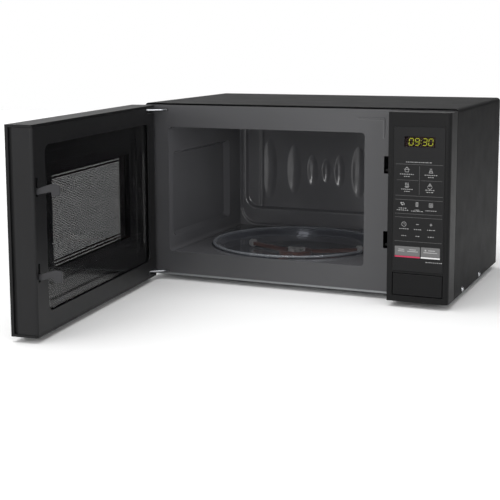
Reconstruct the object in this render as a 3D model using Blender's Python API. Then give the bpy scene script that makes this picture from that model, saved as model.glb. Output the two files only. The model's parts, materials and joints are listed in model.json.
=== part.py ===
"""A 20 litre countertop microwave oven with a side-hung door, standing with the door open.

Everything is laid out in cabinet coordinates, in metres: X = 0 at the case's left side and
growing to the right, Y = 0 on the front plate's face and growing to the back, Z = 0 at the
case's bottom edge.  The empty "cabinet" moves that layout so that the world origin is under
the middle of the oven's bounding box, at the level of the feet.
"""

import math

import bmesh
import bpy
from mathutils import Matrix, Vector

# ---------------------------------------------------------------- driving dimensions, metres

FIT = 0.0003                 # gap between two pieces that touch
SHEET = 0.0008               # steel sheet of the case, plate, base and cavity
PLASTIC = 0.002              # wall of the moulded pieces

CASE_WIDTH = 0.455
CASE_HEIGHT = 0.250
CASE_DEPTH = 0.272
CASE_FRONT = 0.0011          # the case's front edge stands back from the plate
CASE_BEND = 0.005            # outside radius of the case's two top bends
REAR_LIP = 0.012             # the case's inward fold at the back
FOOT_HEIGHT = 0.008
FOOT_RADIUS = 0.009
FOOT_SIDE_INSET = 0.040
FOOT_FRONT_INSET = 0.055
FOOT_REAR_INSET = 0.037

SIDE_FLANGE = 0.012          # upturned sides of the base plate
SIDE_SCREW_Z = 0.0053
SIDE_SCREW_Y = (0.0455, 0.1506)
REAR_SCREW_INSET = 0.060
SCREW_RADIUS = 0.0015
SCREW_CLEARANCE = 0.0003
SCREW_HEAD_RADIUS = 0.0036
SCREW_HEAD_HEIGHT = 0.0018
SCREW_LENGTH = 0.006

PLATE_BOTTOM = 0.003
PLATE_TOP_GAP = 0.0025       # from the plate's top edge to the case's top
PLATE_FLANGE = 0.010
CREASE_WIDTH = 0.004         # bent groove pressed in the plate's top right corner
CREASE_DEPTH = 0.00045
CREASE_PANEL_GAP = 0.016
CREASE_TOP_GAP = 0.0127
CREASE_ACROSS = 0.0365
CREASE_DROP = 0.024
PANEL_WIDTH = 0.081          # control panel, at the right
PANEL_DEPTH = 0.035
PANEL_TOP_GAP = 0.003
PANEL_EDGE_RADIUS = 0.006

LEFT_JAMB = 0.037            # plate left of the cavity's opening
RIGHT_JAMB = 0.043           # plate between the opening and the panel
SILL = 0.035
HEADER = 0.034
REAR_SPACE = 0.016           # from the cavity's back rim to the case's back edge
MOUTH_RADIUS = 0.005
CAVITY_FLANGE = 0.010

WALL_POCKET_DEPTH = 0.007    # outward pocket in the cavity's left wall
WALL_POCKET_FRONT = 0.013
WALL_POCKET_REAR_GAP = 0.039
WALL_POCKET_BOTTOM = 0.018
WALL_POCKET_TOP_GAP = 0.036
WALL_POCKET_BEVEL = 0.006
DISH_MARGIN = 0.0016         # the back wall's dish, inside its rim
DISH_DEPTH = 0.003
DISH_RADIUS = 0.028
NICHE_DEPTH = 0.005          # deeper upper part of the dish
NICHE_BOTTOM = 0.033         # above the cavity's floor
NICHE_SLOPE = 0.006
NICHE_MARGIN = 0.008
CHANNEL_INSET = 0.031        # upright channels, from the cavity's sides
CHANNEL_WIDTH = 0.0085
CHANNEL_DEPTH = 0.002
CHANNEL_TOP_GAP = 0.020
CHANNEL_DROP = 0.004         # the channels run a little below the niche's floor
DIMPLE_DEPTH = 0.003         # lens-shaped dimples in the niche
DIMPLE_DROP = 0.009          # their middles sit below the niche's middle

DOOR_THICKNESS = 0.0345
DOOR_SEAT = 0.0015           # air between the plate and the closed door
DOOR_GAP = 0.002             # between the door's free end and the panel
DOOR_SIDE_MARGIN = 0.0005
DOOR_DROP = 0.001            # the door reaches a little below the case
DOOR_TOP_GAP = 0.0025
DOOR_ANGLE = math.radians(84.0)
HINGE_X = 0.007
HINGE_Y = -0.014
PIN_RADIUS = 0.0025
PIN_CLEARANCE = 0.00015
PIN_LENGTH = 0.011
LEAF_THICKNESS = 0.0016
LEAF_REACH = 0.036
LEAF_FLANGE = 0.011
LEAF_GAP = 0.0034            # between a leaf and its notch's edge
NOTCH_WIDTH = 0.030
NOTCH_HEIGHT = 0.011
COVER_SKIN = 0.004           # front thickness of the door's outer frame
CAP = 0.003                  # top and bottom walls of the outer frame
GROOVE = 0.0048              # depth of the groove round the door's end faces
GROOVE_INSET = 0.003
PANE_MARGIN = 0.030
PANE_THICKNESS = 0.0022
PANE_LEDGE = 0.004
COVER_EDGE_RADIUS = 0.0033
COVER_WINDOW_LEFT = 0.0245
COVER_WINDOW_RIGHT = 0.031
COVER_WINDOW_BOTTOM = 0.025
COVER_WINDOW_TOP = 0.0255
COVER_WINDOW_RADIUS = 0.010
SCREEN_MARGIN = 0.009        # the steel screen reaches this far behind the cover's window
SCREEN_BACK = 0.0067         # from the door's inner face to the screen
FILM_THICKNESS = 0.001

HOOK_X_INSET = 0.009         # from the door's free end to the hooks' middle
HOOK_THICKNESS = 0.0028
HOOK_LOW = 0.0651            # underside of the lower hook's head
HOOK_HIGH_GAP = 0.0844       # from the upper hook's underside to the case's top
HOOK_HEAD = 0.0144            # from a head's underside to its peak
HOOK_TRAVEL = 0.005
HOOK_REACH = 0.0284
SLOT_CLEARANCE = 0.0014
SLOT_WIDTH = 0.005
PLATE_SLOT_MARGIN = 0.0016     # the plate's slots start this far below the cover's
PLATE_SLOT_WIDTH = 0.010
KEEPER_Y = (0.0105, 0.0165)
BAR_DEPTH = 0.0085
SPRING_RADIUS = 0.0030
SPRING_WIRE = 0.0005
SPRING_LENGTH = 0.0124
SPRING_TURNS = 5

BUTTON_BOTTOM = 0.008
BUTTON_HEIGHT = 0.030
BUTTON_MARGIN = 0.007        # from the panel's sides to the button
BUTTON_GAP = 0.0007
BUTTON_SKIRT = 0.014
BUTTON_TRAVEL = 0.006
LEVER_PIVOT_Y = 0.006
LEVER_PIVOT_Z = 0.048
LEVER_SHAFT_RADIUS = 0.003
LEVER_SWING = 0.3            # radians for the button's full travel
INPUT_ARM_WIDTH = 0.010

OVERLAY_MARGIN = 0.0072
OVERLAY_ABOVE_BUTTON = 0.003
OVERLAY_TOP_GAP = 0.0184
OVERLAY_THICKNESS = 0.0008
DISPLAY_HEIGHT = 0.013
DISPLAY_BELOW_OVERLAY_TOP = 0.0126
DISPLAY_LEFT_INSET = 0.0141
DISPLAY_RIGHT_INSET = 0.013
BOARD_THICKNESS = 0.0016
BOARD_STANDOFF = 0.009

TRAY_CLEARANCE = 0.004       # from the tray's rim to the nearest cavity wall
TRAY_RIM_TOP = 0.0045        # above the cavity's floor
TRAY_THICKNESS = 0.0035
TRAY_RIM_WIDTH = 0.016
TRAY_DEPTH = 0.0115          # from the rim's top to the tray's underside
ROLLER_RADIUS = 0.0059
ROLLER_WIDTH = 0.008
ROLLER_INSET = 0.009         # from the tray's flat base edge to the rollers' middle
AXLE_RADIUS = 0.0020
AXLE_CLEARANCE = 0.00015
WELL_CLEARANCE = 0.0022      # from the tray's rim to the wall of the floor's well
WELL_TAPER = 0.004
RING_INNER = 0.0175
RING_OUTER = 0.025
SHAFT_RADIUS = 0.003
HUB_RADIUS = 0.007
WING_REACH = 0.0145
MOTOR_RADIUS = 0.024
LUG_TURN = math.radians(60.0)
FIRST_ARM = math.radians(33.0)

WAVEGUIDE_DEPTH = 0.018
WAVEGUIDE_FRONT = 0.080
WAVEGUIDE_LENGTH = 0.090
WAVEGUIDE_TOP_SHARE = 0.199   # of the cavity's height, left free above the waveguide
WAVEGUIDE_HEIGHT = 0.080
MAGNETRON_WIDTH = 0.078
ANTENNA_RADIUS = 0.008
TRANSFORMER_SIZE = (0.080, 0.055, 0.064)
TRANSFORMER_FRONT = 0.078
CAPACITOR_RADIUS = 0.017
CAPACITOR_LENGTH = 0.080
DUCT_BOTTOM = 0.075
DUCT_TOP_GAP = 0.045
DUCT_DEPTH = 0.044
FAN_CLEARANCE = 0.004
FAN_BLADES = 5
LAMP_RADIUS = 0.010
LAMP_Y = 0.196
LAMP_BELOW_CEILING = 0.024
GLAND_RADIUS = 0.009
GLAND_BORE = 0.0035
GLAND_OUT = 0.009

# ---------------------------------------------------------------- sizes that follow from them

PANEL_LEFT = CASE_WIDTH - PANEL_WIDTH
PANEL_TOP = CASE_HEIGHT - PANEL_TOP_GAP
PLATE_LEFT = 2 * SHEET + 2 * FIT
PLATE_RIGHT = CASE_WIDTH - PLATE_LEFT
PLATE_TOP = CASE_HEIGHT - PLATE_TOP_GAP
CAVITY_LEFT = LEFT_JAMB
CAVITY_RIGHT = PANEL_LEFT - RIGHT_JAMB
CAVITY_FLOOR = SILL
CAVITY_TOP = CASE_HEIGHT - HEADER
CAVITY_REAR = CASE_DEPTH - REAR_SPACE
CAVITY_START = SHEET + FIT
REAR_OUTER = CASE_DEPTH - SHEET - FIT
REAR_INNER = REAR_OUTER - SHEET

TABLE_X = (CAVITY_LEFT + CAVITY_RIGHT) / 2
TABLE_Y = CAVITY_REAR / 2
TRAY_RADIUS = min(CAVITY_RIGHT - CAVITY_LEFT, CAVITY_REAR) / 2 - TRAY_CLEARANCE
TRAY_TOP = CAVITY_FLOOR + TRAY_RIM_TOP
TRAY_BOTTOM = TRAY_TOP - TRAY_DEPTH
TRAY_BASE_RADIUS = TRAY_RADIUS - TRAY_RIM_WIDTH
WELL_RADIUS = TRAY_RADIUS + WELL_CLEARANCE
ROLLER_Z = TRAY_BOTTOM - FIT - ROLLER_RADIUS
WELL_FLOOR = ROLLER_Z - ROLLER_RADIUS - FIT
ROLLER_TRACK = TRAY_BASE_RADIUS - ROLLER_INSET

DOOR_LEFT = DOOR_SIDE_MARGIN
DOOR_RIGHT = PANEL_LEFT - DOOR_GAP
DOOR_BOTTOM = -DOOR_DROP
DOOR_TOP = CASE_HEIGHT - DOOR_TOP_GAP
DOOR_BACK = -DOOR_SEAT
DOOR_FRONT = DOOR_BACK - DOOR_THICKNESS
GROOVE_BACK = DOOR_FRONT + COVER_SKIN + GROOVE
COVER_BOTTOM = DOOR_BOTTOM + CAP + FIT
COVER_TOP = DOOR_TOP - CAP - FIT
COVER_LEFT = DOOR_LEFT + DOOR_SIDE_MARGIN
COVER_RIGHT = DOOR_RIGHT - DOOR_SIDE_MARGIN
NOTCH_TOP = COVER_TOP - NOTCH_HEIGHT + CAP
NOTCH_BOTTOM = COVER_BOTTOM + NOTCH_HEIGHT - CAP - DOOR_DROP
UPPER_LEAF = NOTCH_TOP + LEAF_GAP
LOWER_LEAF = NOTCH_BOTTOM - LEAF_GAP - LEAF_THICKNESS
BOSS_DEPTH = 0.010

HOOK_X = DOOR_RIGHT - HOOK_X_INSET
SLOT_LENGTH = HOOK_HEAD + HOOK_TRAVEL + 2 * SLOT_CLEARANCE
LEVER_INPUT_ARM = BUTTON_TRAVEL / LEVER_SWING
HOOK_HIGH = CASE_HEIGHT - HOOK_HIGH_GAP
HOOKS = (HOOK_LOW, HOOK_HIGH)
BAR_BACK = DOOR_BACK - PLASTIC - FIT
BAR_LOW = HOOK_LOW - 0.003
BAR_HIGH = HOOK_HIGH + 0.0244
LATCH_WALL = HOOK_X + 0.0049
LATCH_WALL_THICKNESS = 0.0025

COMPARTMENT = CAVITY_RIGHT + SHEET + FIT
MAGNETRON_X = COMPARTMENT + WAVEGUIDE_DEPTH + FIT
WAVEGUIDE_Z = (CAVITY_TOP - WAVEGUIDE_TOP_SHARE * (CAVITY_TOP - CAVITY_FLOOR)
               - WAVEGUIDE_HEIGHT)
BASE_TOP = SHEET + FIT
DUCT_TOP = CASE_HEIGHT - DUCT_TOP_GAP
DUCT_RIGHT = CASE_WIDTH - SHEET - 0.010
DUCT_LEFT = COMPARTMENT
DUCT_FRONT = REAR_INNER - FIT - DUCT_DEPTH
FAN_X = (DUCT_LEFT + DUCT_RIGHT) / 2
FAN_Z = (DUCT_BOTTOM + DUCT_TOP) / 2
BORE_RADIUS = min(DUCT_RIGHT - DUCT_LEFT, DUCT_TOP - DUCT_BOTTOM) / 2 - 0.004
GLAND_X = CASE_WIDTH - 0.032
GLAND_Z = CASE_HEIGHT - 0.028

# The open door reaches furthest left at its hinge end's front edge and furthest forward at its
# free end's front edge; the case's right side and the cord gland close the bounding box.
ORIGIN_X = (HINGE_X + (DOOR_LEFT - HINGE_X) * math.cos(DOOR_ANGLE)
            + (DOOR_FRONT - HINGE_Y) * math.sin(DOOR_ANGLE)
            + CASE_WIDTH + SCREW_HEAD_HEIGHT + FIT) / 2
ORIGIN_Y = (HINGE_Y - (DOOR_RIGHT - HINGE_X) * math.sin(DOOR_ANGLE)
            + (DOOR_FRONT - HINGE_Y) * math.cos(DOOR_ANGLE)
            + REAR_OUTER + GLAND_OUT) / 2

# ---------------------------------------------------------------- building blocks

AXES = {"X": Matrix(((0, 0, 1), (1, 0, 0), (0, 1, 0))),
        "Y": Matrix(((1, 0, 0), (0, 0, 1), (0, 1, 0))),
        "Z": Matrix.Identity(3)}


def clear_scene():
    for old in list(bpy.data.objects):
        bpy.data.objects.remove(old, do_unlink=True)


def linear(hex_colour):
    """The linear RGBA value of an sRGB colour written as six hex digits."""
    channels = []
    for start in (0, 2, 4):
        value = int(hex_colour[start:start + 2], 16) / 255
        channels.append(value / 12.92 if value <= 0.04045 else ((value + 0.055) / 1.055) ** 2.4)
    return (*channels, 1.0)


def material(name, hex_colour, roughness, metallic=0.0):
    made = bpy.data.materials.new(name)
    made.use_nodes = True
    shader = made.node_tree.nodes["Principled BSDF"]
    shader.inputs["Base Color"].default_value = linear(hex_colour)
    shader.inputs["Roughness"].default_value = roughness
    shader.inputs["Metallic"].default_value = metallic
    return made


def from_bmesh(name, shape, smooth_angle=None):
    """An object at the layout's origin holding the bmesh, with its faces turned outward."""
    bmesh.ops.recalc_face_normals(shape, faces=shape.faces)
    mesh = bpy.data.meshes.new(name)
    shape.to_mesh(mesh)
    shape.free()
    if smooth_angle is not None:
        mesh.shade_smooth()
        mesh.set_sharp_from_angle(angle=math.radians(smooth_angle))
    made = bpy.data.objects.new(name, mesh)
    bpy.context.collection.objects.link(made)
    return made


def prism(name, outline, low, high, axis="Z", top_outline=None):
    """A flat outline carried from low to high along an axis.

    The outline's points are (x, y) for Z, (x, z) for Y and (y, z) for X.  A second outline
    with as many points makes the far end, for tapered shapes.
    """
    shape = bmesh.new()
    turn = AXES[axis]
    near = [shape.verts.new(turn @ Vector((a, b, low))) for a, b in outline]
    far = [shape.verts.new(turn @ Vector((a, b, high))) for a, b in top_outline or outline]
    shape.faces.new(near)
    shape.faces.new(far)
    for first, (a, b) in enumerate(zip(near, far)):
        following = (first + 1) % len(near)
        shape.faces.new((a, near[following], far[following], b))
    return from_bmesh(name, shape, 30)


def block(name, low, high):
    """A box between two corners."""
    outline = [(low[0], low[1]), (high[0], low[1]), (high[0], high[1]), (low[0], high[1])]
    return prism(name, outline, low[2], high[2])


def rounded(left, low, right, high, radius, steps=5, corners=(0, 1, 2, 3)):
    """A rectangle's outline; the corners listed (anticlockwise from left low) are round."""
    centres = ((left + radius, low + radius), (right - radius, low + radius),
               (right - radius, high - radius), (left + radius, high - radius))
    square = ((left, low), (right, low), (right, high), (left, high))
    points = []
    for corner, (x, y) in enumerate(centres):
        if corner not in corners:
            points.append(square[corner])
            continue
        for step in range(steps + 1):
            angle = math.pi + (corner + step / steps) * math.pi / 2
            points.append((x + radius * math.cos(angle), y + radius * math.sin(angle)))
    return points


def circle(x, y, radius, sides):
    turn = 2 * math.pi / sides
    return [(x + radius * math.cos(turn * i), y + radius * math.sin(turn * i))
            for i in range(sides)]


def rod(name, centre, radius, low, high, axis="Z", sides=20):
    """A round bar; centre holds the two coordinates across the axis, in outline order."""
    return prism(name, circle(centre[0], centre[1], radius, sides), low, high, axis)


def lathe(name, profile, centre, axis="Z", sides=48):
    """A closed (radius, height) profile turned about the axis through centre.

    Points on the axis have radius 0.  Heights count from centre along the axis.
    """
    shape = bmesh.new()
    turn = AXES[axis]
    rings = []
    for radius, height in profile:
        count = sides if radius > 0 else 1
        rings.append([shape.verts.new(turn @ Vector((a, b, height)) + Vector(centre))
                      for a, b in circle(0, 0, radius, count)])
    for place, ring in enumerate(rings):
        other = rings[(place + 1) % len(rings)]
        if len(ring) == 1 and len(other) == 1:
            continue
        for i in range(sides):
            j = (i + 1) % sides
            corners = [ring[i % len(ring)], ring[j % len(ring)],
                       other[j % len(other)], other[i % len(other)]]
            unique = list(dict.fromkeys(corners))
            shape.faces.new(unique)
    return from_bmesh(name, shape, 35)


def combine(target, tool, operation):
    """Apply one exact Boolean to the target and remove the tool."""
    modifier = target.modifiers.new("combine", "BOOLEAN")
    modifier.operation = operation
    modifier.solver = "EXACT"
    modifier.object = tool
    bpy.context.view_layer.update()
    evaluated = target.evaluated_get(bpy.context.evaluated_depsgraph_get())
    mesh = bpy.data.meshes.new_from_object(evaluated)
    target.modifiers.clear()
    target.data = mesh
    bpy.data.objects.remove(tool, do_unlink=True)
    return target


def cut(target, tool):
    return combine(target, tool, "DIFFERENCE")


def fuse(target, tool):
    return combine(target, tool, "UNION")


def finish(made, parent, look):
    """Give the piece its material and hang it on a pivot, in the pivot's rest place."""
    made.data.materials.clear()
    made.data.materials.append(look)
    made.data.name = made.name
    made.parent = parent
    made.location = -Vector(parent["layout_point"])
    return made


def pivot(name, point, parent=None):
    """An empty on a joint's axis; point is in cabinet coordinates, with the door closed."""
    made = bpy.data.objects.new(name, None)
    made.empty_display_size = 0.02
    made["layout_point"] = point
    bpy.context.collection.objects.link(made)
    if parent:
        made.parent = parent
        made.location = Vector(point) - Vector(parent["layout_point"])
    return made


# ---------------------------------------------------------------- cabinet shell


def case_outline(inset, bottom):
    """Across the case: straight sides and two round top bends, all set in by inset."""
    return rounded(inset, bottom, CASE_WIDTH - inset, CASE_HEIGHT - inset,
                   max(CASE_BEND - inset, 0.001), 4, (2, 3))


def outer_case(parent):
    """The wrap: one bent sheet over both sides and the top, folded in at the back."""
    made = prism("outer_case", case_outline(0, 0), CASE_FRONT, CASE_DEPTH, "Y")
    below = -0.010
    cut(made, prism("inside", case_outline(SHEET, below), -0.010, CASE_DEPTH - SHEET, "Y"))
    cut(made, prism("back", case_outline(REAR_LIP, below), CASE_FRONT, CASE_DEPTH + 0.010, "Y"))
    hole = SCREW_RADIUS + SCREW_CLEARANCE
    for y in SIDE_SCREW_Y:
        cut(made, rod("hole", (y, SIDE_SCREW_Z), hole, -0.01, CASE_WIDTH + 0.01, "X", 12))
    for x, z in rear_screw_places():
        cut(made, rod("hole", (x, z), hole, CASE_DEPTH - 0.01, CASE_DEPTH + 0.01, "Y", 12))
    vent_count = 9
    pitch = 0.008
    for i in range(vent_count):
        y = CASE_DEPTH - 0.035 - i * pitch
        slot = rounded(y - 0.0015, CASE_HEIGHT - 0.075, y + 0.0015, CASE_HEIGHT - 0.045, 0.0007, 1)
        cut(made, prism("vent", slot, -0.01, 0.01, "X"))
    return finish(made, parent, material("case_paint", "2c2c2e", 0.42, 0.3))


def rear_screw_places():
    """Two screws through the top of the rear fold and one low on each side."""
    across = REAR_LIP / 2
    low = 0.060
    return ((REAR_SCREW_INSET, CASE_HEIGHT - across),
            (CASE_WIDTH - REAR_SCREW_INSET, CASE_HEIGHT - across),
            (across, low), (CASE_WIDTH - across, low))


def rear_panel(parent):
    """The flat back, inside the case's rear fold, with air slots and the cord's hole."""
    outline = case_outline(SHEET + FIT, 0)
    made = prism("rear_panel", outline, REAR_INNER, REAR_OUTER, "Y")
    for x, z in rear_screw_places():
        hole = SCREW_RADIUS + SCREW_CLEARANCE
        cut(made, rod("hole", (x, z), hole, REAR_INNER - 0.01, REAR_OUTER + 0.01, "Y", 12))
    gland_hole = GLAND_RADIUS - 0.003 + FIT
    cut(made, rod("hole", (GLAND_X, GLAND_Z), gland_hole, REAR_INNER - 0.01,
                  REAR_OUTER + 0.01, "Y", 20))
    pitch = 0.009
    for row in (0.45, 0.78):
        for i in range(9):
            x = FAN_X + (i - 4) * pitch
            z = DUCT_BOTTOM + (DUCT_TOP - DUCT_BOTTOM) * row - 0.012
            slot = rounded(x - 0.002, z - 0.014, x + 0.002, z + 0.014, 0.001, 1)
            cut(made, prism("vent", slot, REAR_INNER - 0.01, REAR_OUTER + 0.01, "Y"))
    return finish(made, parent, material("rear_steel", "6e7072", 0.45, 0.8))


def base_plate(parent):
    """The bottom sheet, turned up at both sides and a little at the front."""
    side = SHEET + FIT
    front = CASE_FRONT
    back = REAR_INNER - FIT
    made = block("base_plate", (side, front, 0), (CASE_WIDTH - side, back, SIDE_FLANGE))
    cut(made, block("inside", (side + SHEET, front + SHEET, SHEET),
                    (CASE_WIDTH - side - SHEET, back + 0.01, SIDE_FLANGE + 0.01)))
    cut(made, block("front", (side - 0.01, front - 0.01, PLATE_BOTTOM - FIT),
                    (CASE_WIDTH - side + 0.01, front + 2 * PLATE_FLANGE, SIDE_FLANGE + 0.01)))
    hole = SCREW_RADIUS + SCREW_CLEARANCE
    for y in SIDE_SCREW_Y:
        cut(made, rod("hole", (y, SIDE_SCREW_Z), hole, -0.01, CASE_WIDTH + 0.01, "X", 12))
    for i in range(6):
        x = COMPARTMENT + 0.020 + i * 0.009
        slot = rounded(x - 0.002, 0.024, x + 0.002, 0.052, 0.001, 1)
        cut(made, prism("vent", slot, -0.01, 0.01))
    return finish(made, parent, material("base_steel", "7a7c7e", 0.45, 0.8))


def crease_outline(half):
    """The bent groove seen from the front, half to each side of its middle line."""
    corner = (PANEL_LEFT - CREASE_PANEL_GAP, PLATE_TOP - CREASE_TOP_GAP)
    end = (corner[0] - CREASE_ACROSS, corner[1] - CREASE_DROP)
    return [(end[0] - half, corner[1] - half), (corner[0] - half, corner[1] - half),
            (corner[0] - half, end[1] - half), (corner[0] + half, end[1] - half),
            (corner[0] + half, corner[1] + half), (end[0] - half, corner[1] + half)]


def front_plate(parent):
    """The steel face round the cavity's mouth, with slots for the hooks and the hinges."""
    made = block("front_plate", (PLATE_LEFT, 0, PLATE_BOTTOM),
                 (PLATE_RIGHT, PLATE_FLANGE, PLATE_TOP))
    cut(made, block("inside", (PLATE_LEFT + SHEET, SHEET, PLATE_BOTTOM + SHEET),
                    (PLATE_RIGHT - SHEET, PLATE_FLANGE + 0.01, PLATE_TOP - SHEET)))
    mouth = rounded(CAVITY_LEFT, CAVITY_FLOOR, CAVITY_RIGHT, CAVITY_TOP, MOUTH_RADIUS)
    cut(made, prism("mouth", mouth, -0.01, 0.01, "Y"))
    window = rounded(PANEL_LEFT + 0.012, 0.012, CASE_WIDTH - 0.009, PANEL_TOP - 0.012, 0.003, 2)
    cut(made, prism("window", window, -0.01, 0.01, "Y"))
    for head in HOOKS:
        low = head - SLOT_CLEARANCE - PLATE_SLOT_MARGIN
        slot = rounded(HOOK_X - PLATE_SLOT_WIDTH / 2, low, HOOK_X + PLATE_SLOT_WIDTH / 2,
                       low + SLOT_LENGTH + 0.001, 0.001, 2)
        cut(made, prism("slot", slot, -0.01, 0.01, "Y"))
    cut(made, prism("crease", crease_outline(CREASE_WIDTH / 2), 0, CREASE_DEPTH, "Y",
                    crease_outline(CREASE_WIDTH / 5)))
    for leaf in (UPPER_LEAF, LOWER_LEAF):
        cut(made, block("slot", (0.004 - 2 * FIT, -0.01, leaf - FIT),
                        (LEAF_REACH + 2 * FIT, 0.01, leaf + LEAF_THICKNESS + FIT)))
    return finish(made, parent, material("plate_paint", "47474a", 0.38, 0.2))


def foot(name, x, y, parent):
    """A moulded foot under the base plate."""
    profile = [(0, -FIT), (FOOT_RADIUS, -FIT), (FOOT_RADIUS, -0.004),
               (FOOT_RADIUS - 0.001, -FOOT_HEIGHT), (0, -FOOT_HEIGHT)]
    made = lathe(name, profile, (x, y, 0), sides=24)
    return finish(made, parent, material(name + "_rubber", "1b1b1c", 0.8))


def feet(parent):
    places = {"foot_front_left": (FOOT_SIDE_INSET, FOOT_FRONT_INSET),
              "foot_front_right": (CASE_WIDTH - FOOT_SIDE_INSET, FOOT_FRONT_INSET),
              "foot_rear_left": (FOOT_SIDE_INSET, CASE_DEPTH - FOOT_REAR_INSET),
              "foot_rear_right": (CASE_WIDTH - FOOT_SIDE_INSET, CASE_DEPTH - FOOT_REAR_INSET)}
    for name, (x, y) in places.items():
        foot(name, x, y, parent)


def screw(name, centre, axis, outward, parent):
    """A pan-head screw whose head's underside is at centre; outward is +1 or -1 on the axis."""
    dome = SCREW_HEAD_RADIUS * 0.6
    profile = [(0, SCREW_HEAD_HEIGHT), (dome, SCREW_HEAD_HEIGHT), (SCREW_HEAD_RADIUS, 0.0009),
               (SCREW_HEAD_RADIUS, 0), (SCREW_RADIUS, 0), (SCREW_RADIUS, -SCREW_LENGTH),
               (0, -SCREW_LENGTH)]
    made = lathe(name, [(r, h * outward) for r, h in profile], centre, axis, 10)
    return finish(made, parent, material(name + "_chrome", "c8c9cc", 0.2, 1.0))


def screws(parent):
    """Four screws through the case's sides and four through its rear fold."""
    for side, x, outward in (("left", -FIT, -1), ("right", CASE_WIDTH + FIT, 1)):
        for place, y in zip(("front", "rear"), SIDE_SCREW_Y):
            screw(f"side_screw_{side}_{place}", (x, y, SIDE_SCREW_Z), "X", outward, parent)
    names = ("rear_screw_top_left", "rear_screw_top_right",
             "rear_screw_low_left", "rear_screw_low_right")
    for name, (x, z) in zip(names, rear_screw_places()):
        screw(name, (x, CASE_DEPTH + FIT, z), "Y", 1, parent)


# ---------------------------------------------------------------- cavity


def pocket(name, grow):
    """The outward pocket of the left wall, as a tapered block; grow thickens it all round."""
    front = WALL_POCKET_FRONT - grow
    back = CAVITY_REAR - WALL_POCKET_REAR_GAP + grow
    low = CAVITY_FLOOR + WALL_POCKET_BOTTOM - grow
    high = CAVITY_TOP - WALL_POCKET_TOP_GAP + grow
    bevel = WALL_POCKET_BEVEL
    wide = rounded(front, low, back, high, 0.008, 3)
    deep = rounded(front + bevel, low + bevel, back - 2 * bevel, high - bevel, 0.006, 3)
    inner = CAVITY_LEFT + (0.002 if grow == 0 else -SHEET / 2)
    return prism(name, wide, inner, CAVITY_LEFT - WALL_POCKET_DEPTH - grow, "X", deep)


def well(name, grow, top):
    """The round well in the floor that holds the turntable."""
    profile = [(0, top), (WELL_RADIUS + grow, top), (WELL_RADIUS + grow, CAVITY_FLOOR - 0.003),
               (WELL_RADIUS - WELL_TAPER + grow, WELL_FLOOR - grow), (0, WELL_FLOOR - grow)]
    return lathe(name, profile, (TABLE_X, TABLE_Y, 0), sides=56)


def cavity_wrap(parent):
    """Floor, sides and ceiling of the oven, flanged behind the front plate."""
    corner = 0.006
    shell = rounded(CAVITY_LEFT - SHEET, CAVITY_FLOOR - SHEET, CAVITY_RIGHT + SHEET,
                    CAVITY_TOP + SHEET, corner, 3)
    flange = rounded(CAVITY_LEFT - CAVITY_FLANGE, CAVITY_FLOOR - CAVITY_FLANGE,
                     CAVITY_RIGHT + CAVITY_FLANGE, CAVITY_TOP + CAVITY_FLANGE, corner, 2)
    inside = rounded(CAVITY_LEFT, CAVITY_FLOOR, CAVITY_RIGHT, CAVITY_TOP, corner - SHEET, 3)
    made = prism("cavity_wrap", shell, CAVITY_START, CAVITY_REAR, "Y")
    fuse(made, prism("flange", flange, CAVITY_START, CAVITY_START + SHEET, "Y"))
    fuse(made, pocket("pocket_skin", SHEET))
    fuse(made, well("well_skin", SHEET, CAVITY_FLOOR - SHEET / 2))
    cut(made, prism("inside", inside, -0.01, CAVITY_REAR + 0.01, "Y"))
    cut(made, pocket("pocket", 0))
    cut(made, well("well", 0, CAVITY_FLOOR + 0.002))
    cut(made, rod("shaft_hole", (TABLE_X, TABLE_Y), SHAFT_RADIUS + 0.0015, 0, WELL_FLOOR + 0.005,
                  sides=20))
    port = (0.012, 0.014)
    cut(made, block("port", (CAVITY_RIGHT - 0.01, WAVEGUIDE_FRONT + port[0], WAVEGUIDE_Z + port[1]),
                    (CAVITY_RIGHT + 0.01, WAVEGUIDE_FRONT + WAVEGUIDE_LENGTH - port[0],
                     WAVEGUIDE_Z + WAVEGUIDE_HEIGHT - port[1])))
    lamp_z = CAVITY_TOP - LAMP_BELOW_CEILING
    for i in range(3):
        for j in range(3):
            place = (LAMP_Y + (i - 1) * 0.007, lamp_z + (j - 1) * 0.007)
            cut(made, rod("light", place, 0.0022, CAVITY_RIGHT - 0.01, CAVITY_RIGHT + 0.01, "X", 8))
    return finish(made, parent, material("cavity_enamel", "3c3c3e", 0.35, 0.1))


def dish(name, grow, depth):
    """The back wall's round-cornered dish."""
    margin = DISH_MARGIN - grow
    outline = rounded(CAVITY_LEFT + margin, CAVITY_FLOOR + margin, CAVITY_RIGHT - margin,
                      CAVITY_TOP - margin, DISH_RADIUS, 6)
    return prism(name, outline, depth[0], depth[1], "Y")


def niche(name, grow, depth):
    """The deeper upper part of the dish, with a sloped lower edge."""
    side = NICHE_MARGIN - grow
    low = CAVITY_FLOOR + NICHE_BOTTOM - NICHE_SLOPE - grow
    near = rounded(CAVITY_LEFT + side, low, CAVITY_RIGHT - side, CAVITY_TOP - side, 0.022, 4)
    far = rounded(CAVITY_LEFT + side, low + NICHE_SLOPE, CAVITY_RIGHT - side,
                  CAVITY_TOP - side, 0.022, 4)
    return prism(name, near, depth[0], depth[1], "Y", far)


def dimple(name, x, half_width, half_height, near, far):
    """A lens-shaped block from near to far, with a smaller far end."""
    z = (CAVITY_FLOOR + NICHE_BOTTOM + CAVITY_TOP - NICHE_MARGIN) / 2 - DIMPLE_DROP
    points = []
    steps = 10
    for i in range(steps):
        angle = 2 * math.pi * i / steps
        points.append((x + half_width * math.cos(angle), z + half_height * math.sin(angle)))
    small = [(x + (a - x) * 0.45, z + (b - z) * 0.85) for a, b in points]
    return prism(name, points, near, far, "Y", small)


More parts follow.
